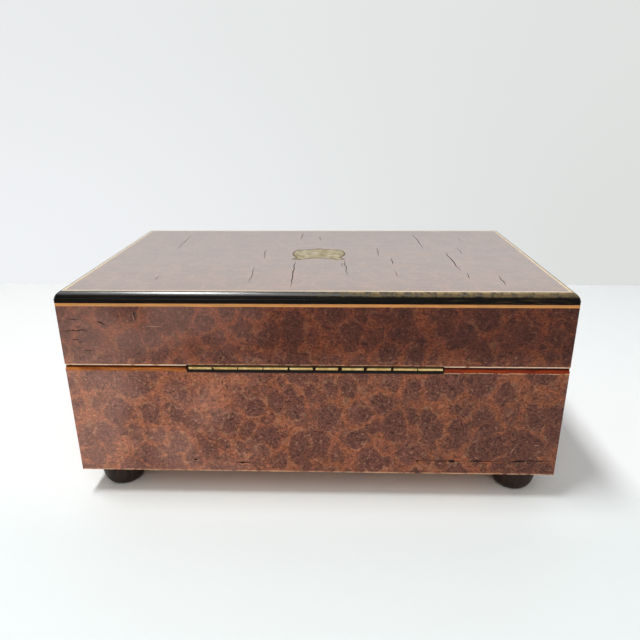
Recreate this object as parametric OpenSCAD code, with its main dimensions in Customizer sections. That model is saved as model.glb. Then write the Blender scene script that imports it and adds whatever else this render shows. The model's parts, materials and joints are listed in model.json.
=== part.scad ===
// Jack in the box built into a veneered casket: a hinged lid, a figure on a sleeved
// spring that rises as the lid opens, and a key-turned lock that holds the lid shut.
// Millimetres, +Z up, origin on the floor under the middle of the whole part,
// front at -Y, hinge at +Y.

/* [Case] */
// Length of the case along the hinge
case_w = 200; // [190:1:230]
// Depth of the case from front to back
case_d = 120; // [116:1:140]
// Height of the seam above the underside of the case
seam_h = 48.5; // [48.5:0.5:56]
// Height of the lid above the seam
lid_h = 31; // [31:0.5:36]
// Thickness of the carcass boards behind the veneer
board_t = 6; // [6:0.5:8]
// Thickness of the sawn burr veneer
veneer_t = 1; // [0.8:0.1:1.2]
// Thickness of the bottom board
bottom_t = 5; // [4:0.5:6]
// Thickness of the top board under its veneer
top_board_t = 4.5; // [4:0.5:5]
// Height of the edging strips glued round both rims
edging_h = 1.2; // [1.2:0.1:1.6]
// Chamfer that opens the back of the seam for the hinge
seam_chamfer = 1; // [0.8:0.1:1.1]
// Thickness of the lining paper
paper_t = 0.3; // [0.2:0.1:0.5]

/* [Lid trim] */
// Height of the ebonised moulding round the top
moulding_h = 4.3; // [3.6:0.1:5]
// Width of the moulding seen from above
moulding_w = 2.4; // [2.3:0.1:3]
// Radius of the moulding's rounded upper edge
moulding_r = 2.2; // [1.6:0.1:2.2]
// Height of the stringing let in under the moulding
side_string_h = 1.2; // [0.8:0.1:1.6]
// Width of the stringing let in round the top veneer
top_string_w = 1; // [0.8:0.1:1.4]
// Width of the name plate across its ears, left bare
plate_w = 25.2; // [20:0.2:30]
// Distance of the name plate from the middle of the lid towards the front
plate_shift = 2; // [0:0.5:6]

/* [Feet] */
// Height of a foot under the case
foot_h = 12; // [8:0.5:14]
// Largest radius of a foot
foot_r = 9.5; // [8:0.5:11]
// Distance from the case's faces to a foot's centre
foot_inset = 13; // [12:0.5:18]

/* [Hinge] */
// Length of the hinge
hinge_len = 101.6; // [90:0.2:120]
// Number of knuckles, half of them on each leaf
knuckles = 10; // [8:2:12]
// Outer radius of the knuckles
barrel_r = 1.2; // [1.1:0.05:1.2]
// Depth of the hinge's axis inside the back face
axis_depth = 0.75; // [0.7:0.05:0.8]
// Radius of the hinge pin
pin_r = 0.5; // [0.4:0.05:0.6]
// Width of a leaf from the axis inwards
leaf_w = 5.6; // [5:0.1:5.8]

/* [Lock and key] */
// Half width of the lock's case
lock_half_w = 20; // [20:0.5:24]
// Length by which the lock's plates run past its case at each end
plate_ear = 5; // [4.4:0.2:7]
// Height of the key's axis under the seam
key_drop = 17.9; // [17.5:0.1:18.2]
// Sideways travel of the bolt
bolt_throw = 3; // [2.8:0.1:3]
// Reach of the key in front of the case
key_out = 17; // [15:0.5:24]

/* [Jack] */
// Outer radius of the spring
spring_r = 15.6; // [12:0.2:15.6]
// Radius of the spring's wire
wire_r = 0.6; // [0.5:0.05:0.7]
// Number of turns in the spring
spring_turns = 5; // [4:1:5]
// Height of the spring with the lid shut
spring_shut_h = 12; // [12:0.5:13]
// Radius of the turned head
head_r = 15.5; // [14:0.5:15.5]
// Length of a sleeve from shoulder to cuff
arm_len = 46; // [36:1:50]
// Angle by which the arms slope down
arm_slope = 12; // [6:1:14]

/* [Hidden] */
$fn = 48;
eps = 0.01;
run_gap = 0.05;                          // radial play of a turning fit
hair = 0.3;                              // gap between pieces that pass each other
glue_gap = 0.03;                         // play of a glued peg or disc in its hole
dowel_r = 3;                             // a foot's dowel
dowel_h = 3.5;
wall_t = board_t + veneer_t;
hinge_out = barrel_r - axis_depth;       // what the barrel stands proud of the back
mid_y = (key_out - hinge_out) / 2;       // middle of the case, so that the whole part is centred
front_y = mid_y - case_d / 2;
back_y = mid_y + case_d / 2;
plate_y = mid_y - plate_shift;
case_z = foot_h;
floor_z = case_z + bottom_t;
seam_z = case_z + seam_h;
top_z = seam_z + lid_h;
base_top = seam_z - edging_h;            // top of the base's boards, under the edging
lid_low = seam_z + edging_h;             // bottom of the lid's boards, above the edging
ceiling_z = top_z - veneer_t - top_board_t;
string_z = ceiling_z;                    // lower edge of the side stringing
moulding_z = top_z - moulding_h;
inner_w = case_w - 2 * wall_t;
axis_y = back_y - axis_depth;
// hinge
knuckle_len = hinge_len / knuckles;
knuckle_gap = 0.15;
leaf_t = 0.7;
barrel_room = barrel_r + 0.15;
screw_head_r = 1.6;
screw_r = 0.8;
screw_len = 5;
leaf_screws = 5;
// lock
lock_in = 2.6;                           // wood left in front of the lock
lock_d = wall_t - lock_in;
lock_z = seam_z - 24.5;
lock_plate_t = 0.7;
bolt_y = front_y + lock_in + 1.3;        // front of the bolt, the key's bit and the links
bolt_t = 1.6;
bolt_low = seam_z - 15.5;
bolt_high = seam_z - 10;
link_w = 5;
link_x = [-11, 6];                       // near edges of the two links
link_drop = 9;
finger_z = [seam_z - 5.5, seam_z - 3.5];
finger_gap = 0.6;                        // from a drawn-back finger to its link
key_z = seam_z - key_drop;
key_r = 1.5;
bit_reach = 5;
keyhole_r = 1.9;
bow_r = 6.2;
// jack
base_disc_r = 21;
base_disc_t = 2.5;
spring_low = floor_z + base_disc_t;
spring_high = spring_low + spring_shut_h;
coil_r = spring_r - wire_r;
jack_disc_r = 20;
jack_disc_t = 3;
body_low = spring_high + jack_disc_t;
body_h = 13;
body_r = 17;
neck_r = 4.5;
ruff_r = 18.5;
ruff_h = 3.5;
head_z = body_low + body_h + ruff_h + head_r;
cap_t = 1.4;
cap_brim_z = head_z + 3.5;
cap_gap = 0.05;
shoulder = [11.5, body_low + 7.6];       // x and z of a shoulder
sleeve_r = 5;
hand_r = 4.8;
bell_r = 3;
horn_tip = [27, head_z + 6.5];
bell_z = horn_tip[1] - 6.2;

// ---- helpers -----------------------------------------------------------------------------

// A block between two opposite corners
module span(low, high) { translate(low) cube(high - low); }

// One mitred side of a frame inside the case's outline: 0 front, 1 right, 2 back, 3 left.
// Its children are the side's section, drawn with x inwards and y up.
module frame_side(side, inset, width) {
    run = (side % 2 == 0 ? case_w : case_d) - 2 * inset;
    reach = side % 2 == 0 ? case_d : case_w;
    translate([0, mid_y, 0]) rotate(90 * side) translate([0, inset - reach / 2, 0])
        intersection() {
            translate([-run / 2, 0, 0]) rotate([90, 0, 90]) linear_extrude(run) children();
            linear_extrude(top_z + 1)
                polygon([[-run / 2, 0], [run / 2, 0], [run / 2 - width, width], [width - run / 2, width]]);
        }
}

// A frame of four mitred strips of rectangular section
module strip_frame(inset, width, low, high) {
    for (side = [0:3]) frame_side(side, inset, width) translate([0, low]) square([width, high - low]);
}

// Room for the hinge's barrel along its length
module barrel_groove() {
    translate([-hinge_len / 2 - hair, axis_y, seam_z]) rotate([0, 90, 0])
        cylinder(r = barrel_room, h = hinge_len + 2 * hair);
}

// The open V along the back of the seam
module seam_groove() {
    translate([-case_w / 2 - 1, back_y, seam_z]) rotate([0, 90, 0])
        linear_extrude(case_w + 2)
            polygon([[-seam_chamfer, eps], [-seam_chamfer, 0], [0, -seam_chamfer], [seam_chamfer, 0],
                [seam_chamfer, eps]]);
}

// A countersunk wood screw with its head flush at z = 0 and its shank below; grow widens it into its hole
module wood_screw(grow = 0) {
    translate([0, 0, -leaf_t]) cylinder(r1 = screw_r + grow, r2 = screw_head_r + grow, h = leaf_t);
    translate([0, 0, -screw_len - grow]) cylinder(r = screw_r + grow, h = screw_len + grow);
}

module slotted_screw() {
    difference() {
        wood_screw();
        translate([-screw_head_r, -0.2, -0.35]) cube([2 * screw_head_r, 0.4, 0.35 + eps]);
    }
}

// Places of the screws in one hinge leaf
module at_leaf_screws() {
    for (i = [0:leaf_screws - 1])
        translate([hinge_len * ((i + 0.5) / leaf_screws - 0.5), axis_y - 3.6, 0]) children();
}

// Room for the lock's top plate or the link plate, in the edging
module lock_plate_recess(low, high) {
    half = lock_half_w + plate_ear;
    span([-half, front_y + lock_in, low], [half, front_y + wall_t + 1, high]);
}

// A flat plate let into a rim over the lock
module lock_rim_plate(low, high) {
    half = lock_half_w + plate_ear;
    span([-half, front_y + lock_in, low], [half, front_y + wall_t, high]);
}

// Places of the two screws in the lock's top plate and in the link plate
module at_lock_screws() {
    for (side = [-1, 1])
        translate([side * (lock_half_w + plate_ear / 2), front_y + lock_in + lock_d / 2, 0]) children();
}

// Outline of a keyhole: round at the top, with a slot for the bit; grow is the border round it
module keyhole_outline(grow = 0) {
    circle(r = keyhole_r + grow);
    translate([-1.1 - grow, -bit_reach - 0.4 - grow]) square([2.2 + 2 * grow, bit_reach + 0.4 + grow]);
}

// The keyhole cut from one depth behind the front face to another
module keyhole_cut(from, to, grow = 0) {
    translate([0, front_y + to, key_z]) rotate([90, 0, 0]) linear_extrude(to - from) keyhole_outline(grow);
}

// ---- base --------------------------------------------------------------------------------

module at_feet() {
    for (x = [-1, 1]) for (y = [front_y + foot_inset, back_y - foot_inset])
        translate([x * (case_w / 2 - foot_inset), y, 0]) children();
}

module bottom_board() {
    color("#6b4630") difference() {
        span([veneer_t - case_w / 2, front_y + veneer_t, case_z],
            [case_w / 2 - veneer_t, back_y - veneer_t, floor_z]);
        at_feet() translate([0, 0, case_z - eps]) cylinder(r = dowel_r + glue_gap, h = dowel_h + eps);
    }
}

// A board behind a long face's veneer, from depth y0 to y1
module long_board(y0, y1, low, high) {
    span([veneer_t - case_w / 2, y0, low], [case_w / 2 - veneer_t, y1, high]);
}

module base_front_board() {
    color("#7a5238") difference() {
        long_board(front_y + veneer_t, front_y + wall_t, floor_z, base_top);
        span([-lock_half_w, front_y + lock_in, lock_z], [lock_half_w, front_y + wall_t + 1, base_top + 1]);
        keyhole_cut(0, lock_in + 1);
        at_lock_screws() translate([0, 0, seam_z]) wood_screw(0.02);
    }
}

module base_back_board() {
    color("#7a5238") difference() {
        long_board(back_y - wall_t, back_y - veneer_t, floor_z, base_top);
        barrel_groove();
        at_leaf_screws() translate([0, 0, seam_z]) wood_screw(0.02);
    }
}

// A side board of the base or the lid; side is -1 for left and 1 for right
module side_board(side, low, high) {
    inner = case_w / 2 - wall_t;
    outer = case_w / 2 - veneer_t;
    color("#7a5238")
        span([side < 0 ? -outer : inner, front_y + wall_t, low],
            [side < 0 ? -inner : outer, back_y - wall_t, high]);
}
module base_left_board() { side_board(-1, floor_z, base_top); }
module base_right_board() { side_board(1, floor_z, base_top); }

// Burr veneer on a long face, y0 to y1 deep
module long_veneer(y0, low, high) {
    span([-case_w / 2, y0, low], [case_w / 2, y0 + veneer_t, high]);
}
// Burr veneer on an end face
module end_veneer(side, low, high) {
    color("#7d4f40") span([side < 0 ? -case_w / 2 : case_w / 2 - veneer_t, front_y + veneer_t, low],
        [side < 0 ? veneer_t - case_w / 2 : case_w / 2, back_y - veneer_t, high]);
}
module base_front_veneer() {
    color("#7d4f40") difference() {
        long_veneer(front_y, case_z, base_top);
        keyhole_cut(-1, veneer_t + 1, 1.4);
    }
}
module base_back_veneer() {
    color("#7d4f40") difference() {
        long_veneer(back_y - veneer_t, case_z, base_top);
        barrel_groove();
    }
}
module base_left_veneer() { end_veneer(-1, case_z, base_top); }
module base_right_veneer() { end_veneer(1, case_z, base_top); }

module base_edging() {
    color("#b0642c") difference() {
        strip_frame(0, wall_t, base_top, seam_z);
        seam_groove();
        barrel_groove();
        span([-hinge_len / 2, axis_y - leaf_w, seam_z - leaf_t], [hinge_len / 2, axis_y, seam_z + 1]);
        lock_plate_recess(base_top - 1, seam_z + 1);
        at_leaf_screws() translate([0, 0, seam_z]) wood_screw(0.02);
    }
}

// A turned bun foot with its dowel
module bun_foot(x, y) {
    belly_z = foot_h * 0.66;
    sole_r = foot_r * 0.58;
    neck = foot_r * 0.84;
    rings = 8;
    under = [for (i = [0:rings]) let (a = 90 * i / rings)
        [sole_r + (foot_r - sole_r) * sin(a), belly_z * (1 - cos(a))]];
    over = [for (i = [1:rings]) let (a = 90 * i / rings)
        [neck + (foot_r - neck) * cos(a), belly_z + (foot_h - belly_z) * sin(a)]];
    color("#35231b")
        translate([x * (case_w / 2 - foot_inset), y < 0 ? front_y + foot_inset : back_y - foot_inset, 0])
            rotate_extrude()
                polygon(concat([[0, 0]], under, over,
                    [[dowel_r, foot_h], [dowel_r, foot_h + dowel_h], [0, foot_h + dowel_h]]));
}
module foot_front_left() { bun_foot(-1, -1); }
module foot_front_right() { bun_foot(1, -1); }
module foot_back_left() { bun_foot(-1, 1); }
module foot_back_right() { bun_foot(1, 1); }

module base_lining() {
    color("#5b2233") difference() {
        span([-inner_w / 2, front_y + wall_t, floor_z], [inner_w / 2, back_y - wall_t, base_top - 1]);
        span([paper_t - inner_w / 2, front_y + wall_t + paper_t, floor_z + paper_t],
            [inner_w / 2 - paper_t, back_y - wall_t - paper_t, base_top]);
        translate([0, mid_y, floor_z - 1]) cylinder(r = base_disc_r + glue_gap, h = 2);
        span([-lock_half_w, front_y + wall_t - 1, lock_z], [lock_half_w, front_y + wall_t + 1, base_top]);
    }
}

// ---- hinge -------------------------------------------------------------------------------

// A leaf with its own knuckles. own is 0 or 1, the first of its knuckles; below is true for the base's leaf.
module hinge_leaf(own, below) {
    color("#b8963e") difference() {
        union() {
            span([-hinge_len / 2, axis_y - leaf_w, below ? seam_z - leaf_t : seam_z],
                [hinge_len / 2, axis_y, below ? seam_z : seam_z + leaf_t]);
            for (k = [own:2:knuckles - 1]) knuckle(k, barrel_r, -knuckle_gap / 2);
        }
        for (k = [1 - own:2:knuckles - 1]) knuckle(k, barrel_room, knuckle_gap / 2);
        translate([-hinge_len / 2 - 1, axis_y, seam_z]) rotate([0, 90, 0])
            cylinder(r = pin_r + run_gap, h = hinge_len + 2);
        at_leaf_screws() translate([0, 0, seam_z]) rotate([below ? 0 : 180, 0, 0]) wood_screw(0.02);
    }
}

// The space of one knuckle, longer by grow at both ends
module knuckle(k, r, grow) {
    translate([k * knuckle_len - hinge_len / 2 - grow, axis_y, seam_z]) rotate([0, 90, 0])
        cylinder(r = r, h = knuckle_len + 2 * grow);
}
module hinge_base_leaf() { hinge_leaf(0, true); }
module hinge_lid_leaf() { hinge_leaf(1, false); }

module hinge_pin() {
    color("#8f7a4a") translate([-hinge_len / 2, axis_y, seam_z]) rotate([0, 90, 0])
        cylinder(r = pin_r, h = hinge_len);
}
module hinge_base_screws() { color("#b8963e") at_leaf_screws() translate([0, 0, seam_z]) slotted_screw(); }
module hinge_lid_screws() {
    color("#b8963e") at_leaf_screws() translate([0, 0, seam_z]) rotate([180, 0, 0]) slotted_screw();
}

// ---- lock --------------------------------------------------------------------------------

module lock_case() {
    rim = 0.8;
    color("#a5853a") difference() {
        span([-lock_half_w, front_y + lock_in, lock_z], [lock_half_w, front_y + wall_t, base_top]);
        span([rim - lock_half_w, front_y + lock_in - 1, lock_z + rim],
            [lock_half_w - rim, front_y + wall_t - lock_plate_t, base_top + 1]);
        translate([0, front_y + wall_t + 1, key_z]) rotate([90, 0, 0])
            cylinder(r = key_r + run_gap, h = lock_plate_t + 2);
    }
}

module lock_top_plate() {
    color("#b8963e") difference() {
        lock_rim_plate(base_top, seam_z);
        for (x = link_x)
            span([x - 0.6, bolt_y - 0.7, base_top - 1],
                [x + link_w + 0.6, bolt_y + bolt_t + 0.5, seam_z + 1]);
        at_lock_screws() translate([0, 0, seam_z]) wood_screw(0.02);
    }
}

module lock_screws() { color("#b8963e") at_lock_screws() translate([0, 0, seam_z]) slotted_screw(); }

module keyhole_plate() {
    color("#b8963e") difference() {
        keyhole_cut(0, veneer_t, 1.4);
        keyhole_cut(-1, veneer_t + 1);
    }
}

// The bolt slides to the left: two fingers above it enter the links' notches
module lock_bolt() {
    color("#a5853a") {
        difference() {
            span([-12, bolt_y, bolt_low], [17.5, bolt_y + bolt_t, bolt_high]);
            span([1.7, bolt_y - 1, bolt_low - 1], [7.8, bolt_y + bolt_t + 1, bolt_low + 3]);
        }
        for (x = link_x) {
            tip = x + link_w + finger_gap;
            post = tip + bolt_throw - 0.1;
            span([post, bolt_y, bolt_high - eps], [post + 3, bolt_y + bolt_t, finger_z[1]]);
            span([tip, bolt_y, finger_z[0]], [post + eps, bolt_y + bolt_t, finger_z[1]]);
        }
    }
}

module key() {
    bow_y = front_y - key_out + bow_r;
    color("#6f6a63") translate([0, 0, key_z]) {
        difference() {
            union() {
                translate([0, front_y + wall_t, 0]) rotate([90, 0, 0])
                    cylinder(r = key_r, h = wall_t + key_out - 2 * bow_r + 1);
                translate([-1, bow_y, 0]) rotate([0, 90, 0]) cylinder(r = bow_r, h = 2);
            }
            for (a = [90, 210, 330]) translate([-2, bow_y + 3 * cos(a), 3 * sin(a)]) rotate([0, 90, 0])
                cylinder(r = 1.7, h = 4);
        }
        for (y = [front_y - 1.2, front_y - 3.4]) translate([0, y, 0]) rotate([90, 0, 0])
            cylinder(r = 2.2, h = 1);
        span([-0.8, bolt_y, -bit_reach], [0.8, bolt_y + bolt_t, 0]);
    }
}

module link_plate() {
    color("#b8963e") difference() {
        union() {
            lock_rim_plate(seam_z, lid_low);
            for (x = link_x)
                span([x, bolt_y, seam_z - link_drop], [x + link_w, bolt_y + bolt_t, seam_z + eps]);
        }
        for (x = link_x)
            span([x + link_w + finger_gap - bolt_throw - 0.1, bolt_y - 1, finger_z[0] - 0.5],
                [x + link_w + 1, bolt_y + bolt_t + 1, finger_z[1] + 0.5]);
        at_lock_screws() translate([0, 0, seam_z]) rotate([180, 0, 0]) wood_screw(0.02);
    }
}
module link_plate_screws() {
    color("#b8963e") at_lock_screws() translate([0, 0, seam_z]) rotate([180, 0, 0]) slotted_screw();
}

// ---- lid ---------------------------------------------------------------------------------

module lid_top_board() {
    color("#6b4630") {
        span([veneer_t - case_w / 2, front_y + veneer_t, ceiling_z],
            [case_w / 2 - veneer_t, back_y - veneer_t, moulding_z]);
        span([moulding_w - case_w / 2, front_y + moulding_w, moulding_z - eps],
            [case_w / 2 - moulding_w, back_y - moulding_w, top_z - veneer_t]);
    }
}

module lid_front_board() {
    color("#7a5238") difference() {
        long_board(front_y + veneer_t, front_y + wall_t, lid_low, ceiling_z);
        at_lock_screws() translate([0, 0, seam_z]) rotate([180, 0, 0]) wood_screw(0.02);
    }
}
module lid_back_board() {
    color("#7a5238") difference() {
        long_board(back_y - wall_t, back_y - veneer_t, lid_low, ceiling_z);
        barrel_groove();
        at_leaf_screws() translate([0, 0, seam_z]) rotate([180, 0, 0]) wood_screw(0.02);
    }
}
module lid_left_board() { side_board(-1, lid_low, ceiling_z); }
module lid_right_board() { side_board(1, lid_low, ceiling_z); }

module lid_front_veneer() { color("#7d4f40") long_veneer(front_y, lid_low, string_z); }
module lid_back_veneer() {
    color("#7d4f40") difference() {
        long_veneer(back_y - veneer_t, lid_low, string_z);
        barrel_groove();
    }
}
module lid_left_veneer() { end_veneer(-1, lid_low, string_z); }
module lid_right_veneer() { end_veneer(1, lid_low, string_z); }

module lid_edging() {
    color("#b0642c") difference() {
        strip_frame(0, wall_t, seam_z, lid_low);
        seam_groove();
        barrel_groove();
        span([-hinge_len / 2, axis_y - leaf_w, seam_z - 1], [hinge_len / 2, axis_y, seam_z + leaf_t]);
        lock_plate_recess(seam_z - 1, lid_low + 1);
        at_leaf_screws() translate([0, 0, seam_z]) rotate([180, 0, 0]) wood_screw(0.02);
    }
}

module lid_side_stringing() { color("#d08a45") strip_frame(0, veneer_t, string_z, moulding_z); }
module lid_top_stringing() {
    color("#e3c795") strip_frame(moulding_w, top_string_w, top_z - veneer_t, top_z);
}

// Section of the moulding: square below and behind, rounded at the upper outer edge
module moulding_section() {
    translate([0, moulding_z]) square([moulding_w, moulding_h - moulding_r]);
    translate([moulding_r, moulding_z]) square([moulding_w - moulding_r, moulding_h]);
    intersection() {
        translate([moulding_r, top_z - moulding_r]) circle(r = moulding_r);
        translate([0, top_z - moulding_r - eps]) square([moulding_r + eps, moulding_r + eps]);
    }
}
module moulding(side) { color("#17120f") frame_side(side, 0, moulding_w) moulding_section(); }
module moulding_front() { moulding(0); }
module moulding_right() { moulding(1); }
module moulding_back() { moulding(2); }
module moulding_left() { moulding(3); }

// Outline of the shield-shaped name plate, its eared edge towards +y.
// Half of it is drawn from the middle of the eared edge round to the point, then mirrored.
module plate_outline() {
    w = plate_w / 2;
    h = plate_w * 0.47;
    steps = 6;
    ear_x = 0.72 * w;
    arch = [for (i = [0:steps]) let (x = ear_x * i / steps) [x, h * (0.66 + 0.3 * pow(x / ear_x, 2))]];
    ear = [[w, 0.86 * h], [0.84 * w, 0.6 * h]];
    flank = [for (i = [0:steps]) let (a = 60 - 120 * i / steps)
        [w * (0.75 + 0.26 * cos(a)), h * (0.6 * sin(a) - 0.12)]];
    foot = [for (i = [0:steps]) let (t = i / steps)
        [0.84 * w * (1 - t), -h * (0.74 + 0.12 * t + 0.14 * pow(t, 4))]];
    half = concat(arch, ear, flank, foot);
    polygon(concat(half, [for (i = [len(half) - 2:-1:1]) [-half[i][0], half[i][1]]]));
}

module lid_top_veneer() {
    inset = moulding_w + top_string_w;
    color("#a58274") difference() {
        span([inset - case_w / 2, front_y + inset, top_z - veneer_t],
            [case_w / 2 - inset, back_y - inset, top_z]);
        translate([0, plate_y, top_z - veneer_t - 1]) linear_extrude(veneer_t + 2) plate_outline();
    }
}
module name_plate() {
    color("#b9ad7c") translate([0, plate_y, top_z - veneer_t]) linear_extrude(veneer_t) plate_outline();
}

module lid_lining() {
    color("#5b2233") difference() {
        span([-inner_w / 2, front_y + wall_t, lid_low + 1], [inner_w / 2, back_y - wall_t, ceiling_z]);
        span([paper_t - inner_w / 2, front_y + wall_t + paper_t, lid_low],
            [inner_w / 2 - paper_t, back_y - wall_t - paper_t, ceiling_z - paper_t]);
    }
}

// ---- spring and sleeve -------------------------------------------------------------------

module spring_base_disc() {
    color("#8a6a44") difference() {
        translate([0, mid_y, floor_z]) cylinder(r = base_disc_r, h = base_disc_t);
        staples(staple_wire + 0.02);
    }
}

// Wire staples that hold down the spring's first coil, of wire radius r
staple_wire = 0.3;
staple_r = wire_r + staple_wire + 0.08;
staple_leg = 1.6;
module staples(r) {
    for (a = [30, 150, 270]) {
        rise = coil_rise(a / 360);
        leg = wire_r + rise + staple_leg;
        translate([0, mid_y, 0]) rotate(a) translate([coil_r, 0, spring_low + wire_r + rise]) {
            rotate([90, 0, 0]) rotate_extrude(angle = 180) translate([staple_r, 0]) circle(r = r);
            for (x = [-1, 1]) translate([x * staple_r, 0, -leg]) cylinder(r = r, h = leg);
        }
    }
}
module spring_staples() { color("#8d8a84") staples(staple_wire); }

// An even coil, swept as rings of points
coil_steps = 24;
wire_sides = 6;
function coil_rise(turn) = (spring_shut_h - 2 * wire_r) * turn / spring_turns;
function coil_ring(i) = let (turn = i / coil_steps, a = 360 * turn)
    [for (s = [0:wire_sides - 1]) let (b = 360 * s / wire_sides, r = coil_r + wire_r * cos(b))
        [r * cos(a), r * sin(a) + mid_y, spring_low + wire_r + coil_rise(turn) + wire_r * sin(b)]];
module coil_spring() {
    rings = spring_turns * coil_steps;
    points = [for (i = [0:rings]) each coil_ring(i)];
    sides = [for (i = [0:rings - 1], s = [0:wire_sides - 1]) let (n = (s + 1) % wire_sides)
        [i * wire_sides + s, (i + 1) * wire_sides + s, (i + 1) * wire_sides + n, i * wire_sides + n]];
    ends = [[for (s = [0:wire_sides - 1]) s], [for (s = [wire_sides - 1:-1:0]) rings * wire_sides + s]];
    color("#8d8a84") polyhedron(points, concat(sides, ends));
}

// Pleated cloth sleeve round the spring, folded flat with the lid shut
sleeve_folds = 6;
sleeve_in = spring_r + 1.2;
sleeve_fold = 2.2;
sleeve_cloth = 0.8;
module spring_sleeve() {
    fold_h = spring_shut_h / sleeve_folds;
    inside = [for (i = [0:2 * sleeve_folds])
        [sleeve_in + (i % 2) * sleeve_fold, spring_low + i * fold_h / 2]];
    outside = [for (i = [2 * sleeve_folds:-1:0]) inside[i] + [sleeve_cloth, 0]];
    color("#7c2f2c") translate([0, mid_y, 0]) rotate_extrude() polygon(concat(inside, outside));
}

// ---- the figure --------------------------------------------------------------------------

module jack_disc() {
    color("#8a6a44") translate([0, mid_y, spring_high]) cylinder(r = jack_disc_r, h = jack_disc_t);
}

// Stuffed jacket, as a solid of revolution with sloping shoulders
module body_form() {
    shoulder_h = body_h * 0.45;
    steps = 8;
    slope = [for (i = [0:steps]) let (a = 90 * i / steps)
        [8 + (body_r - 8) * cos(a), body_low + body_h - shoulder_h + shoulder_h * sin(a)]];
    translate([0, mid_y, 0]) rotate_extrude()
        polygon(concat([[0, body_low], [body_r - 1, body_low], [body_r, body_low + 2]], slope,
            [[0, body_low + body_h]]));
}
module neck_peg(r) { translate([0, mid_y, body_low + 3]) cylinder(r = r, h = head_z - body_low - 3); }

module jack_body() {
    color("#3f4f74") difference() {
        body_form();
        neck_peg(neck_r + glue_gap);
    }
}

module jack_head() {
    color("#e2bd98") translate([0, mid_y, head_z]) {
        sphere(r = head_r);
        translate([0, -head_r - 0.4, -1.5]) sphere(r = 2.4);
    }
    color("#e2bd98") neck_peg(neck_r);
}

module jack_ruff() {
    low = body_low + body_h;
    color("#efe6d2") difference() {
        translate([0, mid_y, 0]) rotate_extrude()
            polygon([[neck_r + glue_gap, low], [ruff_r - 1.5, low], [ruff_r, low + ruff_h / 2],
                [ruff_r - 1.5, low + ruff_h], [neck_r + glue_gap, low + ruff_h]]);
        translate([0, mid_y, head_z]) sphere(r = head_r + glue_gap);
    }
}

// One horn of the cap, curling out and down to its bell
module cap_horn(side) {
    knots = [[6, head_z + 12.4, 5.4], [18.5, head_z + 13.6, 4], [horn_tip[0], horn_tip[1], 2.2]];
    for (i = [0:1]) hull() for (k = [knots[i], knots[i + 1]])
        translate([side * k[0], mid_y, k[1]]) sphere(r = k[2], $fn = 28);
}
module jack_cap() {
    color("#8c2f2b") difference() {
        union() {
            intersection() {
                translate([0, mid_y, head_z]) sphere(r = head_r + cap_t);
                span([-30, mid_y - 30, cap_brim_z], [30, mid_y + 30, top_z]);
            }
            for (side = [-1, 1]) cap_horn(side);
        }
        translate([0, mid_y, head_z]) sphere(r = head_r + cap_gap);
    }
}

module jack_bells() {
    bell_x = horn_tip[0] + 0.5;
    color("#c8a24a") for (side = [-1, 1]) translate([side * bell_x, mid_y, bell_z]) difference() {
        union() {
            sphere(r = bell_r);
            cylinder(r = 0.7, h = bell_r + 0.9);
        }
        translate([-bell_r, -0.35, -bell_r - 1]) cube([2 * bell_r, 0.7, bell_r + 0.4]);
    }
}

// Places its children on an arm: z runs from the shoulder to the hand
module along_arm(side) {
    translate([side * shoulder[0], mid_y, shoulder[1]]) rotate([0, side * (90 + arm_slope), 0]) children();
}
module jack_arm(side) {
    color("#3f4f74") difference() {
        along_arm(side) rotate_extrude()
            polygon([[0, 0], [sleeve_r - 1, 0], [sleeve_r, 6], [sleeve_r - 0.4, arm_len * 0.6],
                [sleeve_r - 1.2, arm_len - 2], [sleeve_r - 0.6, arm_len], [0, arm_len]]);
        body_form();
    }
}
module jack_left_arm() { jack_arm(-1); }
module jack_right_arm() { jack_arm(1); }
module jack_hands() {
    color("#e2bd98") for (side = [-1, 1]) along_arm(side) {
        translate([0, 0, arm_len + hand_r + 0.1]) sphere(r = hand_r);
        translate([0, 0, arm_len]) cylinder(r = 2.6, h = 2);
        translate([0, -hand_r * 0.75, arm_len + hand_r - 0.4]) sphere(r = 1.9);
    }
}

// ---- output ------------------------------------------------------------------------------

bottom_board();
base_front_board();
base_back_board();
base_left_board();
base_right_board();
base_front_veneer();
base_back_veneer();
base_left_veneer();
base_right_veneer();
base_edging();
foot_front_left();
foot_front_right();
foot_back_left();
foot_back_right();
base_lining();
hinge_base_leaf();
hinge_pin();
hinge_base_screws();
lock_case();
lock_top_plate();
lock_screws();
keyhole_plate();
spring_base_disc();
spring_staples();
coil_spring();
spring_sleeve();
lid_top_board();
lid_front_board();
lid_back_board();
lid_left_board();
lid_right_board();
lid_front_veneer();
lid_back_veneer();
lid_left_veneer();
lid_right_veneer();
lid_top_veneer();
lid_edging();
lid_side_stringing();
lid_top_stringing();
moulding_front();
moulding_right();
moulding_back();
moulding_left();
name_plate();
lid_lining();
hinge_lid_leaf();
hinge_lid_screws();
link_plate();
link_plate_screws();
jack_disc();
jack_body();
jack_head();
jack_ruff();
jack_cap();
jack_bells();
jack_left_arm();
jack_right_arm();
jack_hands();
lock_bolt();
key();
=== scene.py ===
"""Looks of a jack in the box built into a burr-veneered casket.

The casket stands shut with its hinge towards the camera. Inside it a stuffed jester sits on
a sleeved spring and rises as the lid opens. Lengths are written in millimetres and turned
into metres by MM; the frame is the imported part's own.
"""
import json
import random
from math import atan2, cos, dist, exp, pi, radians, sin, sqrt, tau

import bmesh
import bpy
from bmesh import ops
from mathutils import Matrix, Vector


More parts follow.
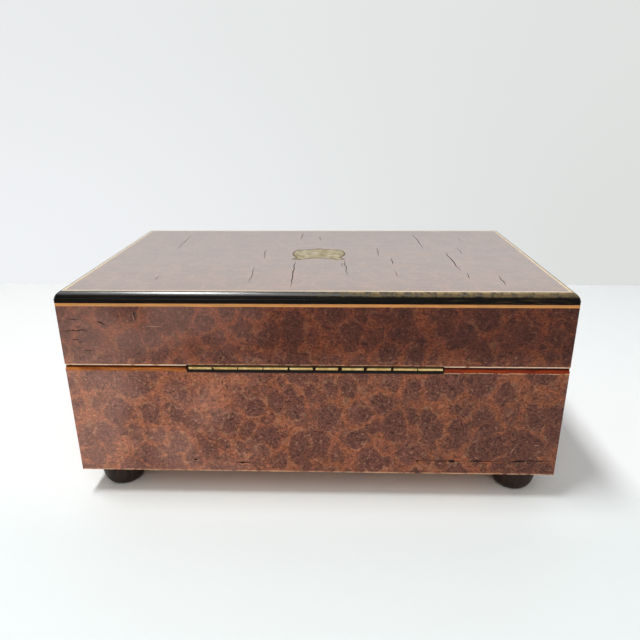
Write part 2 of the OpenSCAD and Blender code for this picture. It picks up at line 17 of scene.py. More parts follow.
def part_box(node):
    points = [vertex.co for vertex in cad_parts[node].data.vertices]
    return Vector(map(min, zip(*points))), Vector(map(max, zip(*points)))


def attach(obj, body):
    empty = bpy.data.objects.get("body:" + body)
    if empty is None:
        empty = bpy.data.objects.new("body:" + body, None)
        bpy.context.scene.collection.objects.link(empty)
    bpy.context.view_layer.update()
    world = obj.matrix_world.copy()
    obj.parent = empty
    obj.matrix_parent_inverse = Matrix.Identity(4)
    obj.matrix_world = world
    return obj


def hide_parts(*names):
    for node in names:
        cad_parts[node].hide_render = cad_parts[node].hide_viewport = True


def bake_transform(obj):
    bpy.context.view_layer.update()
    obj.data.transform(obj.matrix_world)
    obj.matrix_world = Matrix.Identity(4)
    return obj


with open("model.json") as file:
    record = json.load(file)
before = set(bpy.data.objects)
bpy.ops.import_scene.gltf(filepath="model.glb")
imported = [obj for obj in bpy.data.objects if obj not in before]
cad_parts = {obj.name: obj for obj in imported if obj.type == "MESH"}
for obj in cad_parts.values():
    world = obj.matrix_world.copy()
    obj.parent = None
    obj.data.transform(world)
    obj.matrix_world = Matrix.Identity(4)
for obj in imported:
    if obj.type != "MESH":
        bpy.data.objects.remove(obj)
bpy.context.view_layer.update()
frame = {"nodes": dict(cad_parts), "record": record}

MM = 0.001
nodes = frame["nodes"]
scene = bpy.context.scene
scene.view_settings.view_transform = "Standard"


def assign(thing, **settings):
    """Gives a thing its settings and hands it back."""
    for key, value in settings.items():
        setattr(thing, key, value)
    return thing


def placed(name, data, matrix):
    obj = bpy.data.objects.new(name, data)
    scene.collection.objects.link(obj)
    obj.matrix_world = matrix
    return obj


def edges_of(node):
    """Lowest and highest corner of a CAD node in millimetres."""
    low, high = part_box(node)
    return low / MM, high / MM


# ---- places taken from the frame ----

base_low, base_high = edges_of("base_edging")
BACK_Y = base_high.y
FRONT_Y = base_low.y
MID_Y = (BACK_Y + FRONT_Y) / 2
CASE_HALF = base_high.x
CASE_Z = edges_of("bottom_board")[0].z
SEAM_Z = base_high.z
TOP_Z = edges_of("lid_top_veneer")[1].z
BASE_TOP = edges_of("base_back_veneer")[1].z
LID_LOW = edges_of("lid_back_veneer")[0].z
HINGE_HALF = edges_of("hinge_pin")[1].x
KNUCKLES = 10
HEAD = Vector((0, MID_Y, 66.5))   # middle of the figure's head

# ---- camera ----

FOCAL_PX = 576.86                 # focal length in pixels of a picture 640 wide
PICTURE_PX = 640
SENSOR_MM = 36
CAMERA_AT = (-9.24, 275.71, 157.34)
CAMERA_PITCH = 0.3532
CAMERA_YAW = 0.0330
CAMERA_ROLL = -0.0065


def make_camera():
    data = assign(bpy.data.cameras.new("camera"), sensor_width=SENSOR_MM,
                  lens=FOCAL_PX / PICTURE_PX * SENSOR_MM, clip_start=0.01, clip_end=20)
    turn = Matrix.Rotation(pi + CAMERA_YAW, 4, "Z") @ Matrix.Rotation(pi / 2 - CAMERA_PITCH, 4, "X")
    turn @= Matrix.Rotation(CAMERA_ROLL, 4, "Z")
    scene.camera = placed("camera", data, Matrix.Translation(Vector(CAMERA_AT) * MM) @ turn)


make_camera()

# ---- finishes: how a material is put together ----


def linear(colour):
    """A colour as linear RGBA. One of three numbers is given as 0 to 255 in sRGB."""
    if len(colour) == 4:
        return colour
    shares = [value / 255 for value in colour]
    return (*(c / 12.92 if c <= 0.04045 else ((c + 0.055) / 1.055) ** 2.4 for c in shares), 1)


def darkened(colour, by):
    return (*(c * by for c in linear(colour)[:3]), 1)


def joined(how):
    """A method that joins a value to another through a Math node."""
    def join(self, other=0.0):
        return self.graph.math(how, self, other)
    return join


class Value:
    """What a node gives. Arithmetic on it makes further nodes."""

    def __init__(self, graph, socket):
        self.graph = graph
        self.socket = socket

    __add__ = joined("ADD")
    __sub__ = joined("SUBTRACT")
    __mul__ = joined("MULTIPLY")
    __truediv__ = joined("DIVIDE")
    __abs__ = joined("ABSOLUTE")
    most = joined("MAXIMUM")
    least = joined("MINIMUM")

    def step(self, low, high, to_low=0.0, to_high=1.0):
        """The value eased from to_low at low to to_high at high."""
        ends = {"Value": self, "From Min": low, "From Max": high, "To Min": to_low, "To Max": to_high}
        made = self.graph.node("MapRange", ends, interpolation_type="SMOOTHSTEP")
        return Value(self.graph, made.outputs["Result"])

    def fade(self, low, high):
        """One at low and below, easing to nothing at high."""
        return self.step(low, high, 1.0, 0.0)


class Graph:
    """The nodes of a material or of the world."""

    def __init__(self, owner):
        owner.use_nodes = True
        self.tree = owner.node_tree
        self.tree.nodes.clear()

    def node(self, kind, inputs=(), **settings):
        made = assign(self.tree.nodes.new("ShaderNode" + kind), **settings)
        for key, value in dict(inputs).items():
            self.feed(made.inputs[key], value)
        return made

    def feed(self, socket, value):
        value = getattr(value, "socket", value)
        if isinstance(value, bpy.types.NodeSocket):
            self.tree.links.new(value, socket)
        else:
            socket.default_value = linear(value) if socket.type == "RGBA" else value

    def math(self, how, a, b=0.0):
        return Value(self, self.node("Math", {0: a, 1: b}, operation=how).outputs[0])

    def vectors(self, how, a, b=(0, 0, 0), out="Vector"):
        return Value(self, self.node("VectorMath", {0: a, 1: b}, operation=how).outputs[out])

    def both(self, share, first, second):
        """One shader mixed with another by a share."""
        return self.node("MixShader", {0: share, 1: first, 2: second}).outputs[0]

    def glow(self, colour):
        return self.node("Emission", {"Color": colour, "Strength": 1.0}).outputs[0]


class Finish(Graph):
    """One procedural material. Patterns run on Object coordinates in millimetres."""

    def __init__(self, name, **shader):
        self.material = bpy.data.materials.new(name)
        super().__init__(self.material)
        self.colour = None
        self.shader = self.node("BsdfPrincipled")
        for key, value in shader.items():
            self.set(key.replace("_", " ").title().replace("Ior", "IOR"), value)
        self.out = self.node("OutputMaterial")
        self.surface(self.shader.outputs["BSDF"])
        self.mm = self.stretch(self.node("TexCoord").outputs["Object"], (1 / MM,) * 3)
        self.x, self.y, self.z = (self.part_of(self.mm, which) for which in range(3))

    def set(self, socket, value):
        self.feed(self.shader.inputs[socket], value)

    def surface(self, shader):
        self.feed(self.out.inputs["Surface"], shader)

    def finished(self):
        self.set("Base Color", self.colour)
        return self.material

    def stretch(self, vector, scale, shift=(0, 0, 0), turn=(0, 0, 0)):
        return self.node("Mapping", {"Vector": vector, "Scale": scale, "Location": shift,
                                     "Rotation": turn}).outputs["Vector"]

    def noise(self, size, detail=2, rough=0.5, twist=0, vector=None, out="Fac"):
        """Noise whose lumps are about size millimetres across."""
        made = self.node("TexNoise", {"Vector": vector or self.mm, "Scale": 1 / size, "Detail": detail,
                                      "Roughness": rough, "Distortion": twist})
        return Value(self, made.outputs[out])

    def streaks(self, scale, detail=4, rough=0.6, twist=0, vector=None, turn=(0, 0, 0)):
        """Noise drawn out by a scale of its own on each axis, in lumps to the millimetre."""
        return self.noise(1, detail, rough, twist, self.stretch(vector or self.mm, scale, turn=turn))

    def cells(self, size, vector=None, feature="F1", out="Distance"):
        made = self.node("TexVoronoi", {"Vector": vector or self.mm, "Scale": 1 / size}, feature=feature)
        return Value(self, made.outputs[out])

    def walls(self, size, vector):
        """Distance to the nearest wall between cells."""
        return self.cells(size, vector, "DISTANCE_TO_EDGE")

    def chosen(self, size, vector, which=0):
        """A number of its own for each cell."""
        return self.part_of(self.cells(size, vector, out="Color"), which)

    def mix(self, share, a, b, how="MIX"):
        return self.node("Mix", {0: share, 6: a, 7: b}, data_type="RGBA", blend_type=how).outputs[2]

    def over(self, share, coat):
        """Lays a coat over the colour so far, as dense as share."""
        self.colour = self.mix(share, self.colour, coat)

    def shade(self, amount):
        """Makes the colour so far lighter or darker by a value round 1."""
        grey = self.node("CombineXYZ", {"X": amount, "Y": amount, "Z": amount}).outputs[0]
        self.colour = self.mix(1.0, self.colour, grey, "MULTIPLY")

    def warped(self, vector, size, amount):
        """Vector pushed about by noise, by up to about half of amount millimetres."""
        centred = self.vectors("SUBTRACT", self.noise(size, vector=vector, out="Color"), (0.5, 0.5, 0.5))
        return self.vectors("ADD", vector, self.vectors("MULTIPLY", centred, (amount,) * 3))

    def part_of(self, vector, which):
        return Value(self, self.node("SeparateXYZ", {"Vector": vector}).outputs[which])

    def bump(self, height, depth, strength=1.0):
        """Relief of depth millimetres."""
        made = self.node("Bump", {"Height": height, "Strength": strength, "Distance": depth * MM})
        self.set("Normal", made.outputs["Normal"])


# ---- finishes of the casket ----


ISLAND, ISLET, EYE, FLECK = 10.5, 5.6, 3.2, 4.2     # how far apart the parts of a burr stand


def islands(f, vector, size, least, most):
    """Rounded patches, each with its own radius between two shares of size, and how far out a point is."""
    out = f.cells(size, vector)
    share = out / f.chosen(size, vector).step(0, 1, least, most).most(0.01)
    return share.fade(0.66, 1.16), share


def burr_pattern(f):
    """A burr's figure: dark islands, veins between them, eyes, rings, grain, and pale curls and flecks that
    are partly painted glints.
    """
    tall = f.stretch(f.mm, (1, 1, 0.9))
    bent = f.warped(f.warped(tall, 16, 6), 4, 2.8)
    fine = f.warped(bent, 1.6, 1.0)
    large, large_out = islands(f, fine, ISLAND, 0.34, 0.7)
    small, small_out = islands(f, f.stretch(fine, (1, 1, 1), (7, 3, 5)), ISLET, -0.2, 0.58)
    heart = large.most(small)
    nearest = large_out.least(small_out)
    rim = abs(nearest - 1.02).fade(0.03, 0.13) * f.noise(3).step(0.48, 0.6)
    vein = f.walls(ISLAND, bent).fade(0.02, 0.2) * f.noise(9).step(0.32, 0.5)
    branch = f.walls(6.2, bent).fade(0.0, 0.16) * f.noise(8).step(0.45, 0.58, 0.0, 0.8)
    vein *= heart.step(0, 1, 1.0, 0.4)
    branch *= heart.step(0, 1, 1.0, 0.15)
    eye = f.cells(EYE, fine).fade(0.12, 0.5) * f.chosen(EYE, fine).step(0.45, 0.6)
    eye *= heart.step(0, 1, 0.3, 1.0)
    swirl = f.math("SINE", nearest * 17.0)
    ring = swirl.step(0.35, 0.95) * f.noise(2.4).step(0.46, 0.6) * heart
    grain = f.noise(0.85, 3, 0.85, 0.4, vector=f.stretch(bent, (0.7, 1, 1.1)))
    curl = f.noise(1.9, 3, 0.7, 2.5, vector=bent)
    # Pale curls and flecks, partly the burr's own figure and partly painted glints.
    hair = f.walls(2.1, fine).fade(0.02, 0.09)
    hair = (hair * f.noise(1.7).step(0.56, 0.64)).most(rim * 0.55)
    fleck_and_glint = f.cells(FLECK, fine).fade(0.05, 0.13) * f.chosen(FLECK, fine, 2).step(0.7, 0.72)
    return branch, vein, heart, eye, ring, grain, curl, hair, fleck_and_glint


def burr(f, ground, eye_tone, vein_tone, pale, contrast=1.0):
    """Colours a burr's figure on its ground, and gives its rings and grain for the relief."""
    branch, vein, heart, eye, ring, grain, curl, hair, fleck_and_glint = burr_pattern(f)
    f.colour = ground
    for share, strength, tone in ((branch, 0.6, vein_tone), (vein, 0.85, vein_tone), (heart, 0.31, eye_tone),
                                  (eye, 0.5, eye_tone), (ring, 0.6, eye_tone)):
        f.over(share * (strength * contrast), tone)
    f.shade(grain.step(0.28, 0.72, -0.62 * contrast, 0.62 * contrast)
            + curl.step(0.3, 0.7, 1 - 0.32 * contrast, 1 + 0.32 * contrast))
    # Pale curls and flecks: partly the burr's figure, partly painted glints.
    f.over(hair * (0.4 * contrast), pale)
    f.over(fleck_and_glint * 0.6, pale)
    return ring, grain


def side_burr():
    """Burr veneer of the sides: purple brown eyes in orange brown veins, under old shellac."""
    f = Finish("side_burr_veneer", roughness=0.45, specular_ior_level=0.14, coat_weight=0.04,
               coat_roughness=0.3)
    ring, grain = burr(f, (129, 80, 66), (92, 56, 50), (168, 99, 68), (222, 170, 132))
    wander = f.x + f.noise(25).step(0.3, 0.7, -30, 30)
    f.shade(wander.step(-CASE_HALF, CASE_HALF, 0.66, 1.0))
    # Painted shade: the colour is darkened up the lid's sides, standing for the weaker sheen there.
    darker = f.mix(1.0, f.colour, (196, 176, 170), "MULTIPLY")
    f.over(f.z.step(SEAM_Z - 4, SEAM_Z + 10), darker)
    f.over(wander.step(10, CASE_HALF + 10) * 0.22, (178, 146, 134))
    f.shade(wander.step(20, CASE_HALF + 10, 1.0, 1.2))
    torn = f.streaks((0.2, 1, 2.6), 2, 0.5).step(0.7, 0.74) * abs(f.x).step(72, 90)
    f.over(torn * 0.8, (40, 26, 22))
    scratch = f.streaks((0.14, 1.2, 4), 1, 0.5, turn=(0, 0.5, 0))
    f.over(scratch.step(0.77, 0.8, 0, 0.4), (190, 150, 120))
    patchy = f.noise(2.5, 4, 0.6).step(0.35, 0.55)
    by_hinge = abs(f.x).fade(HINGE_HALF, HINGE_HALF + 0.4) * f.y.step(BACK_Y - 1, BACK_Y - 0.5)
    # Pale wear along the bottom edge, and over the hinge a cream line on the lid's lower arris that is partly
    # wear and partly painted highlight.
    arris = abs(f.z - (LID_LOW + 0.05)).fade(0.1, 0.25)
    wear_and_highlight = f.z.fade(CASE_Z + 0.2, CASE_Z + 0.7).most(arris * by_hinge)
    f.over(wear_and_highlight * (patchy * 0.85), (226, 176, 136))
    under = f.z + f.noise(4, 3).step(0.3, 0.7, -0.12, 0.12) - BASE_TOP
    stain = under.step(-0.6, -0.5) * under.fade(0.3, 0.4)
    f.over(stain * 0.9, shellacked(f)[0])
    bare = abs(under + 0.68).fade(0.1, 0.2) * f.x.step(-20, -60, 0.0, 0.7)
    f.over(bare * patchy, (236, 190, 150))
    # Painted shadow: a near-black strip along the base's top edge under the hinge.
    seam = f.z.step(BASE_TOP - 1.25, BASE_TOP - 0.85) * f.z.fade(BASE_TOP + 0.1, BASE_TOP + 0.2)
    f.over(by_hinge * seam, (12, 6, 4))
    f.set("Roughness", f.noise(5, 3).step(0.3, 0.7, 0.38, 0.58))
    f.bump(grain * 0.5 + ring * -0.6, 0.12, 0.5)
    return f.finished()


def top_burr():
    """Burr veneer of the top, its polish drawn out in fine streaks along the case."""
    f = Finish("top_burr_veneer", roughness=0.4, coat_weight=1.0, coat_roughness=0.25, coat_ior=1.7,
               sheen_weight=0.7, sheen_roughness=0.4)
    grain = burr(f, (127, 89, 71), (92, 62, 53), (152, 102, 74), (206, 160, 130), 0.5)[1]
    streak = f.streaks((0.03, 0.8, 0.5), rough=0.65, vector=f.warped(f.mm, 12, 1.5))
    fine = f.streaks((0.09, 2.6, 1), rough=0.7, vector=f.warped(f.mm, 8, 0.8))
    f.shade(streak.step(0.3, 0.7, -0.16, 0.16) + fine.step(0.3, 0.7, 0.84, 1.16))
    f.set("Roughness", streak.step(0.3, 0.7, 0.33, 0.5))
    f.bump(fine + grain * 0.4, 0.06, 0.5)
    return f.finished()


def plain_wood(name, light, dark, size, along=0, **shader):
    """Straight-grained wood; along is the axis that the grain follows."""
    f = Finish(name, **shader)
    squeeze = [1 / size] * 3
    squeeze[along] /= 14
    line = f.streaks(squeeze, 5, 0.6, 0.4)
    pores = f.streaks([s * 3 for s in squeeze], 2, 0.5)
    f.colour = f.mix(line.step(0.3, 0.7), dark, light)
    f.over(pores.step(0.62, 0.72, 0, 0.5), darkened(dark, 0.4))
    f.bump(line + pores, 0.1, 0.4)
    return f.finished()


def ebonised_wood():
    """Black moulding under shellac, dulled and rubbed to olive brown towards one end."""
    f = Finish("ebonised_wood", roughness=0.35, specular_ior_level=0.07, coat_roughness=0.23, coat_ior=1.6)
    along = f.x.step(12, -30)
    roll = f.z.step(TOP_Z - 1.3, TOP_Z - 0.9)
    rubbed = along * f.noise(3, 5, 0.7).step(0.38, 0.56, 0.1, 1.0)
    rubbed *= f.z.step(TOP_Z - 1.7, TOP_Z - 1.2)
    olive = f.mix(f.z.step(TOP_Z - 0.7, TOP_Z - 0.1), (104, 88, 58), (150, 128, 94))
    f.colour = f.mix(rubbed, (9, 7, 5), olive)
    streak = f.streaks((0.12, 1.2, 2.2), rough=0.7)
    f.over(f.x.step(-20, -100, 0.1, 0.8) * streak.step(0.5, 0.64), (74, 58, 38))
    # Pale flecks: scuffs, partly painted glints.
    f.over(f.noise(0.8, 4, 0.7).step(0.67, 0.75) * 0.5, (120, 112, 92))
    f.set("Coat Weight", roll * rubbed.step(0.0, 0.8, 1.0, 0.15))
    f.set("Roughness", f.noise(2.5, 4).step(0.3, 0.7, 0.28, 0.45))
    f.bump(f.streaks((0.25, 1.4, 1.4)), 0.04, 0.3)
    return f.finished()


def stringing_wood(name, colour):
    return plain_wood(name, colour, darkened(colour, 0.72), 0.9, roughness=0.35, coat_weight=0.3,
                      coat_roughness=0.25)


def shellacked(f):
    """Colour of the shellacked edging, golden towards one end and red brown towards the other."""
    line = f.streaks((0.12, 1.2, 1.2))
    along = f.x.step(60, -70)
    light = f.mix(along, (198, 118, 48), (160, 56, 8))
    dark = f.mix(along, (132, 62, 16), (104, 24, 0))
    return f.mix(line.step(0.3, 0.7), dark, light), line


def edging_wood():
    """Shellacked edging: orange below the seam, painted shade in it and round the hinge, and a cream line on
    the lid's arris that is partly wear, partly painted highlight.
    """
    f = Finish("edging_wood", roughness=0.4, specular_ior_level=0.08, coat_weight=0.04, coat_roughness=0.12)
    f.colour, line = shellacked(f)
    above = f.z - SEAM_Z
    # Painted shade in the seam's groove.
    deep = above.step(-0.6, -0.35) * above.fade(0.25, 0.45)
    f.over(deep * 0.85, (50, 16, 8))
    # A cream line on the lid's lower arris, partly wear and partly painted highlight.
    arris_wear_and_highlight = above.step(0.3, 0.5) * above.fade(1.05, 1.15)
    f.over(arris_wear_and_highlight * f.noise(3, 3).step(0.25, 0.45), (254, 228, 198))
    # Dark round the hinge's barrel: dirt and painted shadow.
    by_hinge = abs(f.x).fade(HINGE_HALF + 0.3, HINGE_HALF + 0.9)
    grime_and_painted_shade = by_hinge * f.y.step(BACK_Y - 3, BACK_Y - 2.2) * above.fade(0.5, 0.7)
    f.over(grime_and_painted_shade, (14, 8, 5))
    f.bump(line, 0.08, 0.5)
    return f.finished()


def aged_brass(name, bright, dull, rough=0.3, size=2.4, gaps=False):
    """Brass with patches of tarnish. gaps adds dirt and painted shade where the hinge's knuckles meet, and
    painted shade above and below the barrel.
    """
    f = Finish(name, metallic=1.0, roughness=rough, specular_ior_level=0.05 if gaps else 0.5)
    tarnish = f.noise(size, 5, 0.6).step(0.35, 0.65)
    spots = f.noise(0.7, 3, 0.6).step(0.6, 0.7)
    f.colour = f.mix(tarnish, bright, dull)
    f.over(spots * 0.4, darkened(dull, 0.35))
    if gaps:
        # Dirt and painted shade in the gaps where the knuckles meet.
        reach = f.math("PINGPONG", f.x + HINGE_HALF, HINGE_HALF / KNUCKLES)
        wide = f.noise(5, 1).step(0.45, 0.62, 0.1, 0.7)
        above = f.z - SEAM_Z
        # Painted shade on the barrel's top, under the lid, and along its bottom.
        edge = above.step(0.1, 0.4, 0.0, 0.95).most(above.fade(-1.1, -0.9))
        grime_and_painted_shade = reach.fade(wide, wide + 0.2).most(edge)
        f.over(grime_and_painted_shade, (30, 15, 6))
        f.set("Metallic", grime_and_painted_shade.fade(0.2, 0.8))
    f.set("Roughness", tarnish.step(0, 1, rough - 0.04, rough + 0.16))
    f.bump(f.streaks((0.3, 4, 4), 3), 0.02, 0.3)
    return f.finished()


def filed_steel():
    f = Finish("filed_steel", metallic=1.0, roughness=0.4)
    rust = f.noise(1.6, 5, 0.7).step(0.52, 0.7)
    f.colour = f.mix(rust, (150, 146, 140), (92, 70, 54))
    f.set("Roughness", rust.step(0, 1, 0.34, 0.75))
    f.bump(f.noise(0.5, 4, 0.6), 0.04, 0.5)
    return f.finished()


def lining_paper():
    """Deep red paper with a faint fibrous texture and foxing."""
    f = Finish("lining_paper", roughness=0.85)
    fibre = f.noise(0.6, 4, 0.7)
    stain = f.noise(14, 4, 0.6).step(0.5, 0.75)
    f.colour = f.mix(fibre.step(0.3, 0.7), (104, 34, 42), (130, 48, 54))
    f.over(stain * 0.35, (82, 40, 34))
    f.bump(fibre, 0.08, 0.6)
    return f.finished()


WAVE_SCALE = 0.314  # scale of a Wave node whose bands are a millimetre apart


def woven(name, light, dark, pitch, sheen=0.3):
    """Cloth with a plain weave of the given pitch in millimetres."""
    f = Finish(name, roughness=0.85, sheen_weight=sheen, sheen_roughness=0.5)
    wave = {"Vector": f.mm, "Scale": WAVE_SCALE / pitch, "Distortion": 1.0, "Detail": 2.0}
    warp, weft = (f.node("TexWave", wave, bands_direction=way).outputs["Fac"] for way in "XZ")
    thread = f.math("MULTIPLY", warp, weft)
    slub = f.noise(2.5, 4, 0.6)
    f.colour = f.mix(thread * 0.6 + slub * 0.45, dark, light)
    f.bump(thread + slub * 0.4, 0.12, 0.7)
    return f.finished()


def felt(name, light, dark):
    f = Finish(name, roughness=0.95, sheen_weight=0.5, sheen_roughness=0.6)
    fuzz = f.noise(0.5, 5, 0.75, 0.8)
    f.colour = f.mix(fuzz * 0.7 + f.noise(5, 3) * 0.3, dark, light)
    f.bump(fuzz, 0.2, 0.7)
    return f.finished()


def painted_skin(name, face=False):
    """Old flesh paint on turned wood with fine cracks. A face has rosy cheeks, and hair behind."""
    f = Finish(name, roughness=0.38, coat_weight=0.3, coat_roughness=0.2)
    tone = f.noise(6, 4, 0.6)
    f.colour = f.mix(tone.step(0.3, 0.7), (214, 172, 136), (228, 190, 154))
    if face:
        for side in (-1, 1):
            reach = f.vectors("DISTANCE", f.mm, HEAD + Vector((side * 8.2, -12.2, -4.6)), "Value")
            f.over(reach.step(5.2, 1.2, 0, 0.62), (202, 96, 74))
        nape = f.z.step(HEAD.z - 11, HEAD.z - 9.5)
        edge = f.y + f.noise(4).step(0.3, 0.7, -0.8, 0.8)
        strand = f.streaks((1.6, 1.6, 0.25))
        hair = f.mix(strand.step(0.3, 0.7), (84, 50, 28), (124, 80, 46))
        f.over(nape * edge.step(MID_Y + 0.4, MID_Y + 1.2), hair)
    craze = f.walls(2.3, f.warped(f.mm, 3, 1.5)).fade(0.0, 0.035)
    shown = craze * f.noise(9).step(0.48, 0.6)
    f.over(shown * 0.5, (120, 78, 52))
    f.bump(tone * 0.3 - shown, 0.05, 0.6)
    return f.finished()


def plain_paint(name, colour, rough=0.35):
    f = Finish(name, roughness=rough, coat_weight=0.2, coat_roughness=0.2)
    f.colour = colour
    f.shade(f.noise(0.8, 4, 0.6).step(0.3, 0.7, 0.86, 1.1))
    return f.finished()


side_veneer = side_burr()
top_veneer = top_burr()
crack_wood = plain_wood("crack_wood", (52, 34, 27), (26, 17, 14), 0.6, roughness=0.9)
crack_dust = plain_wood("dusty_crack", (112, 88, 78), (70, 52, 46), 0.6, roughness=0.9)
bare_wood = plain_wood("bare_wood", (214, 122, 52), (176, 88, 34), 0.6, roughness=0.7)
scored_wood = plain_wood("scored_wood", (206, 164, 134), (176, 134, 106), 0.6, roughness=0.7)
ebonised = ebonised_wood()
hinge_brass = aged_brass("hinge_brass", (230, 198, 136), (194, 160, 98), gaps=True)
plate_brass = aged_brass("plate_brass", (196, 183, 150), (160, 146, 114), 0.42, 4)
# Darker brass for the plate's rim and eased edges: an engraved border line and painted shade at the plate's
# edge.
plate_rim_line_and_shade = aged_brass("plate_rim_line_and_shade", (128, 110, 84), (98, 80, 58), 0.55, 2)
lock_brass = aged_brass("lock_brass", (206, 176, 108), (158, 130, 74), 0.32)
steel = filed_steel()
sleeve_cotton = woven("sleeve_cotton", (150, 50, 44), (96, 28, 28), 0.5)
jacket_wool = woven("jacket_wool", (62, 82, 122), (34, 46, 78), 0.7, 0.4)
cap_red = felt("cap_felt", (156, 44, 40), (104, 26, 26))
cap_blue = felt("cap_felt_blue", (58, 78, 116), (36, 50, 80))
ruff_cloth = woven("ruff_linen", (240, 232, 214), (208, 196, 170), 0.45, 0.2)
trim_braid = woven("trim_braid", (214, 176, 92), (150, 112, 48), 0.5)
face_paint = painted_skin("painted_face", face=True)
hand_paint = painted_skin("painted_hands")
lip_red = plain_paint("lip_paint", (168, 52, 44))
eye_white = plain_paint("eye_white", (236, 230, 216), 0.25)
eye_blue = plain_paint("iris_paint", (62, 84, 110), 0.2)
brow_brown = plain_paint("brow_paint", (74, 46, 30))
pupil_black = plain_paint("pupil_paint", (18, 16, 16), 0.2)

SLOT_OF = {part["node"]: part["material_slot"] for part in frame["record"]["subparts"]}
CAD_FINISHES = {
    "carcass_wood": plain_wood("carcass_wood", (196, 124, 58), (152, 92, 42), 1.8, roughness=0.6),
    "stringing_wood": stringing_wood("side_string_wood", (220, 146, 68)),
    "burr_veneer": side_veneer, "ebonised_wood": ebonised, "edging_wood": edging_wood(),
    "foot_wood": plain_wood("foot_wood", (50, 29, 18), (20, 12, 8), 1.1, along=2, roughness=0.5,
                            specular_ior_level=0.15, coat_weight=0.1, coat_roughness=0.3),
    "disc_wood": plain_wood("disc_wood", (196, 158, 112), (160, 120, 80), 1.4, roughness=0.55),
    "lining_paper": lining_paper(), "brass": lock_brass, "steel": steel, "sleeve_cloth": sleeve_cotton,
    "jacket_cloth": jacket_wool, "cap_felt": cap_red, "ruff_linen": ruff_cloth, "painted_wood": hand_paint,
}
NODE_FINISHES = {
    "lid_top_veneer": top_veneer, "lid_top_stringing": stringing_wood("top_string_wood", (232, 206, 168)),
    "name_plate": plate_brass, "hinge_base_leaf": hinge_brass, "hinge_lid_leaf": hinge_brass,
    "hinge_pin": hinge_brass,
}


def finish_cad_nodes():
    for name, obj in nodes.items():
        material = NODE_FINISHES.get(name, CAD_FINISHES[SLOT_OF[name]])
        if not obj.material_slots:
            obj.data.materials.append(material)
        for slot in obj.material_slots:
            slot.material = material


finish_cad_nodes()

# ---- making pieces ----


def piece(name, bm, finishes, body=None, smooth=40):
    """Turns a bmesh in millimetres into an object in metres and body if it has them."""
    ops.scale(bm, vec=(MM,) * 3, verts=bm.verts)
    mesh = bpy.data.meshes.new(name)
    bm.to_mesh(mesh)
    bm.free()
    obj = placed(name, mesh, Matrix())
    for finish in finishes if isinstance(finishes, (list, tuple)) else [finishes]:
        mesh.materials.append(finish)
    rounded(mesh, smooth)
    if body:
        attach(obj, body)
    return obj


def rounded(mesh, angle):
    """Smooth shading, broken where faces meet at more than angle degrees."""
    mesh.polygons.foreach_set("use_smooth", [True] * len(mesh.polygons))
    mesh.set_sharp_from_angle(angle=radians(angle))


def baked(obj, smooth=40):
    """Applies every modifier of a piece to its mesh."""
    shown = obj.evaluated_get(bpy.context.evaluated_depsgraph_get())
    mesh = bpy.data.meshes.new_from_object(shown)
    obj.modifiers.clear()
    obj.data = mesh
    rounded(mesh, smooth)
    return obj


def verts_in(geom):
    return [item for item in geom if isinstance(item, bmesh.types.BMVert)]


def round_middle(bm):
    """Each vert with its way out from the case's upright middle line and its angle round it."""
    for vert in bm.verts:
        out = Vector((vert.co.x, vert.co.y - MID_Y, 0))
        yield vert, out, atan2(out.y, out.x)


def shares(count):
    """Even steps from 0 to 1."""
    return [i / count for i in range(count + 1)]


def outward(bm):
    ops.remove_doubles(bm, verts=bm.verts, dist=0.001)
    ops.recalc_face_normals(bm, faces=bm.faces)
    return bm


def spun(bm, profile, steps=96):
    """Spins a list of (radius, height) about the case's upright middle line."""
    points = [bm.verts.new((r, MID_Y, z)) for r, z in profile]
    lines = [bm.edges.new(pair) for pair in zip(points, points[1:])]
    ops.spin(bm, geom=points + lines, cent=(0, MID_Y, 0), axis=(0, 0, 1), angle=tau, steps=steps,
             use_merge=True)
    return bm


def aimed(at, along):
    """A matrix that puts a shape drawn round +Z at a place, pointing along a direction."""
    return Matrix.Translation(Vector(at)) @ Vector(along).to_track_quat("Z", "Y").to_matrix().to_4x4()


def finish_new(bm, before, finish):
    """Gives a finish to the faces that a bmesh has beside those it had before."""
    for face in set(bm.faces) - before:
        face.material_index = finish


def ball(bm, at, radius, squash=(1, 1, 1), along=(0, 0, 1), u=24, v=16, finish=0):
    before = set(bm.faces)
    shape = aimed(at, along) @ Matrix.Diagonal((*(radius * s for s in squash), 1))
    ops.create_uvsphere(bm, u_segments=u, v_segments=v, radius=1, matrix=shape)
    finish_new(bm, before, finish)


def tube(bm, rings, sides=20, finish=0):
    """A closed tube through rings, each given as (matrix, radius)."""
    before = set(bm.faces)
    loops = []
    for i, (place, radius) in enumerate(rings):
        made = ops.create_circle(bm, cap_ends=i in (0, len(rings) - 1), segments=sides, radius=radius,
                                 matrix=place)
        verts = set(made["verts"])
        loops.append([e for e in bm.edges if e.verts[0] in verts and e.verts[1] in verts])
    for low, high in zip(loops, loops[1:]):
        ops.bridge_loops(bm, edges=low + high)
    finish_new(bm, before, finish)


def limb(bm, stations, sides=20, finish=0):
    """A closed tube through stations of (place, radius). Each ring faces along the tube."""
    places = [Vector(s[0]) for s in stations]
    rings = []
    for i, (place, radius) in enumerate(stations):
        ahead = places[min(i + 1, len(places) - 1)] - places[max(i - 1, 0)]
        rings.append((aimed(place, ahead), radius))
    tube(bm, rings, sides, finish)


def fused(obj, voxel, smooth):
    """Melts the overlapping shells of a piece into one skin."""
    assign(obj.modifiers.new("melt", "REMESH"), mode="VOXEL", voxel_size=voxel * MM, use_smooth_shade=True)
    assign(obj.modifiers.new("soften", "SMOOTH"), iterations=smooth)
    return baked(obj)


def copy_of(node):
    """A CAD node's mesh, merged, as a bmesh in millimetres."""
    bm = bmesh.new()
    bm.from_mesh(nodes[node].data)
    ops.scale(bm, vec=(1 / MM,) * 3, verts=bm.verts)
    ops.remove_doubles(bm, verts=bm.verts, dist=0.0005)
    ops.dissolve_limit(bm, angle_limit=radians(0.5), verts=bm.verts, edges=bm.edges)
    return bm


# ---- cracks in the veneer ----

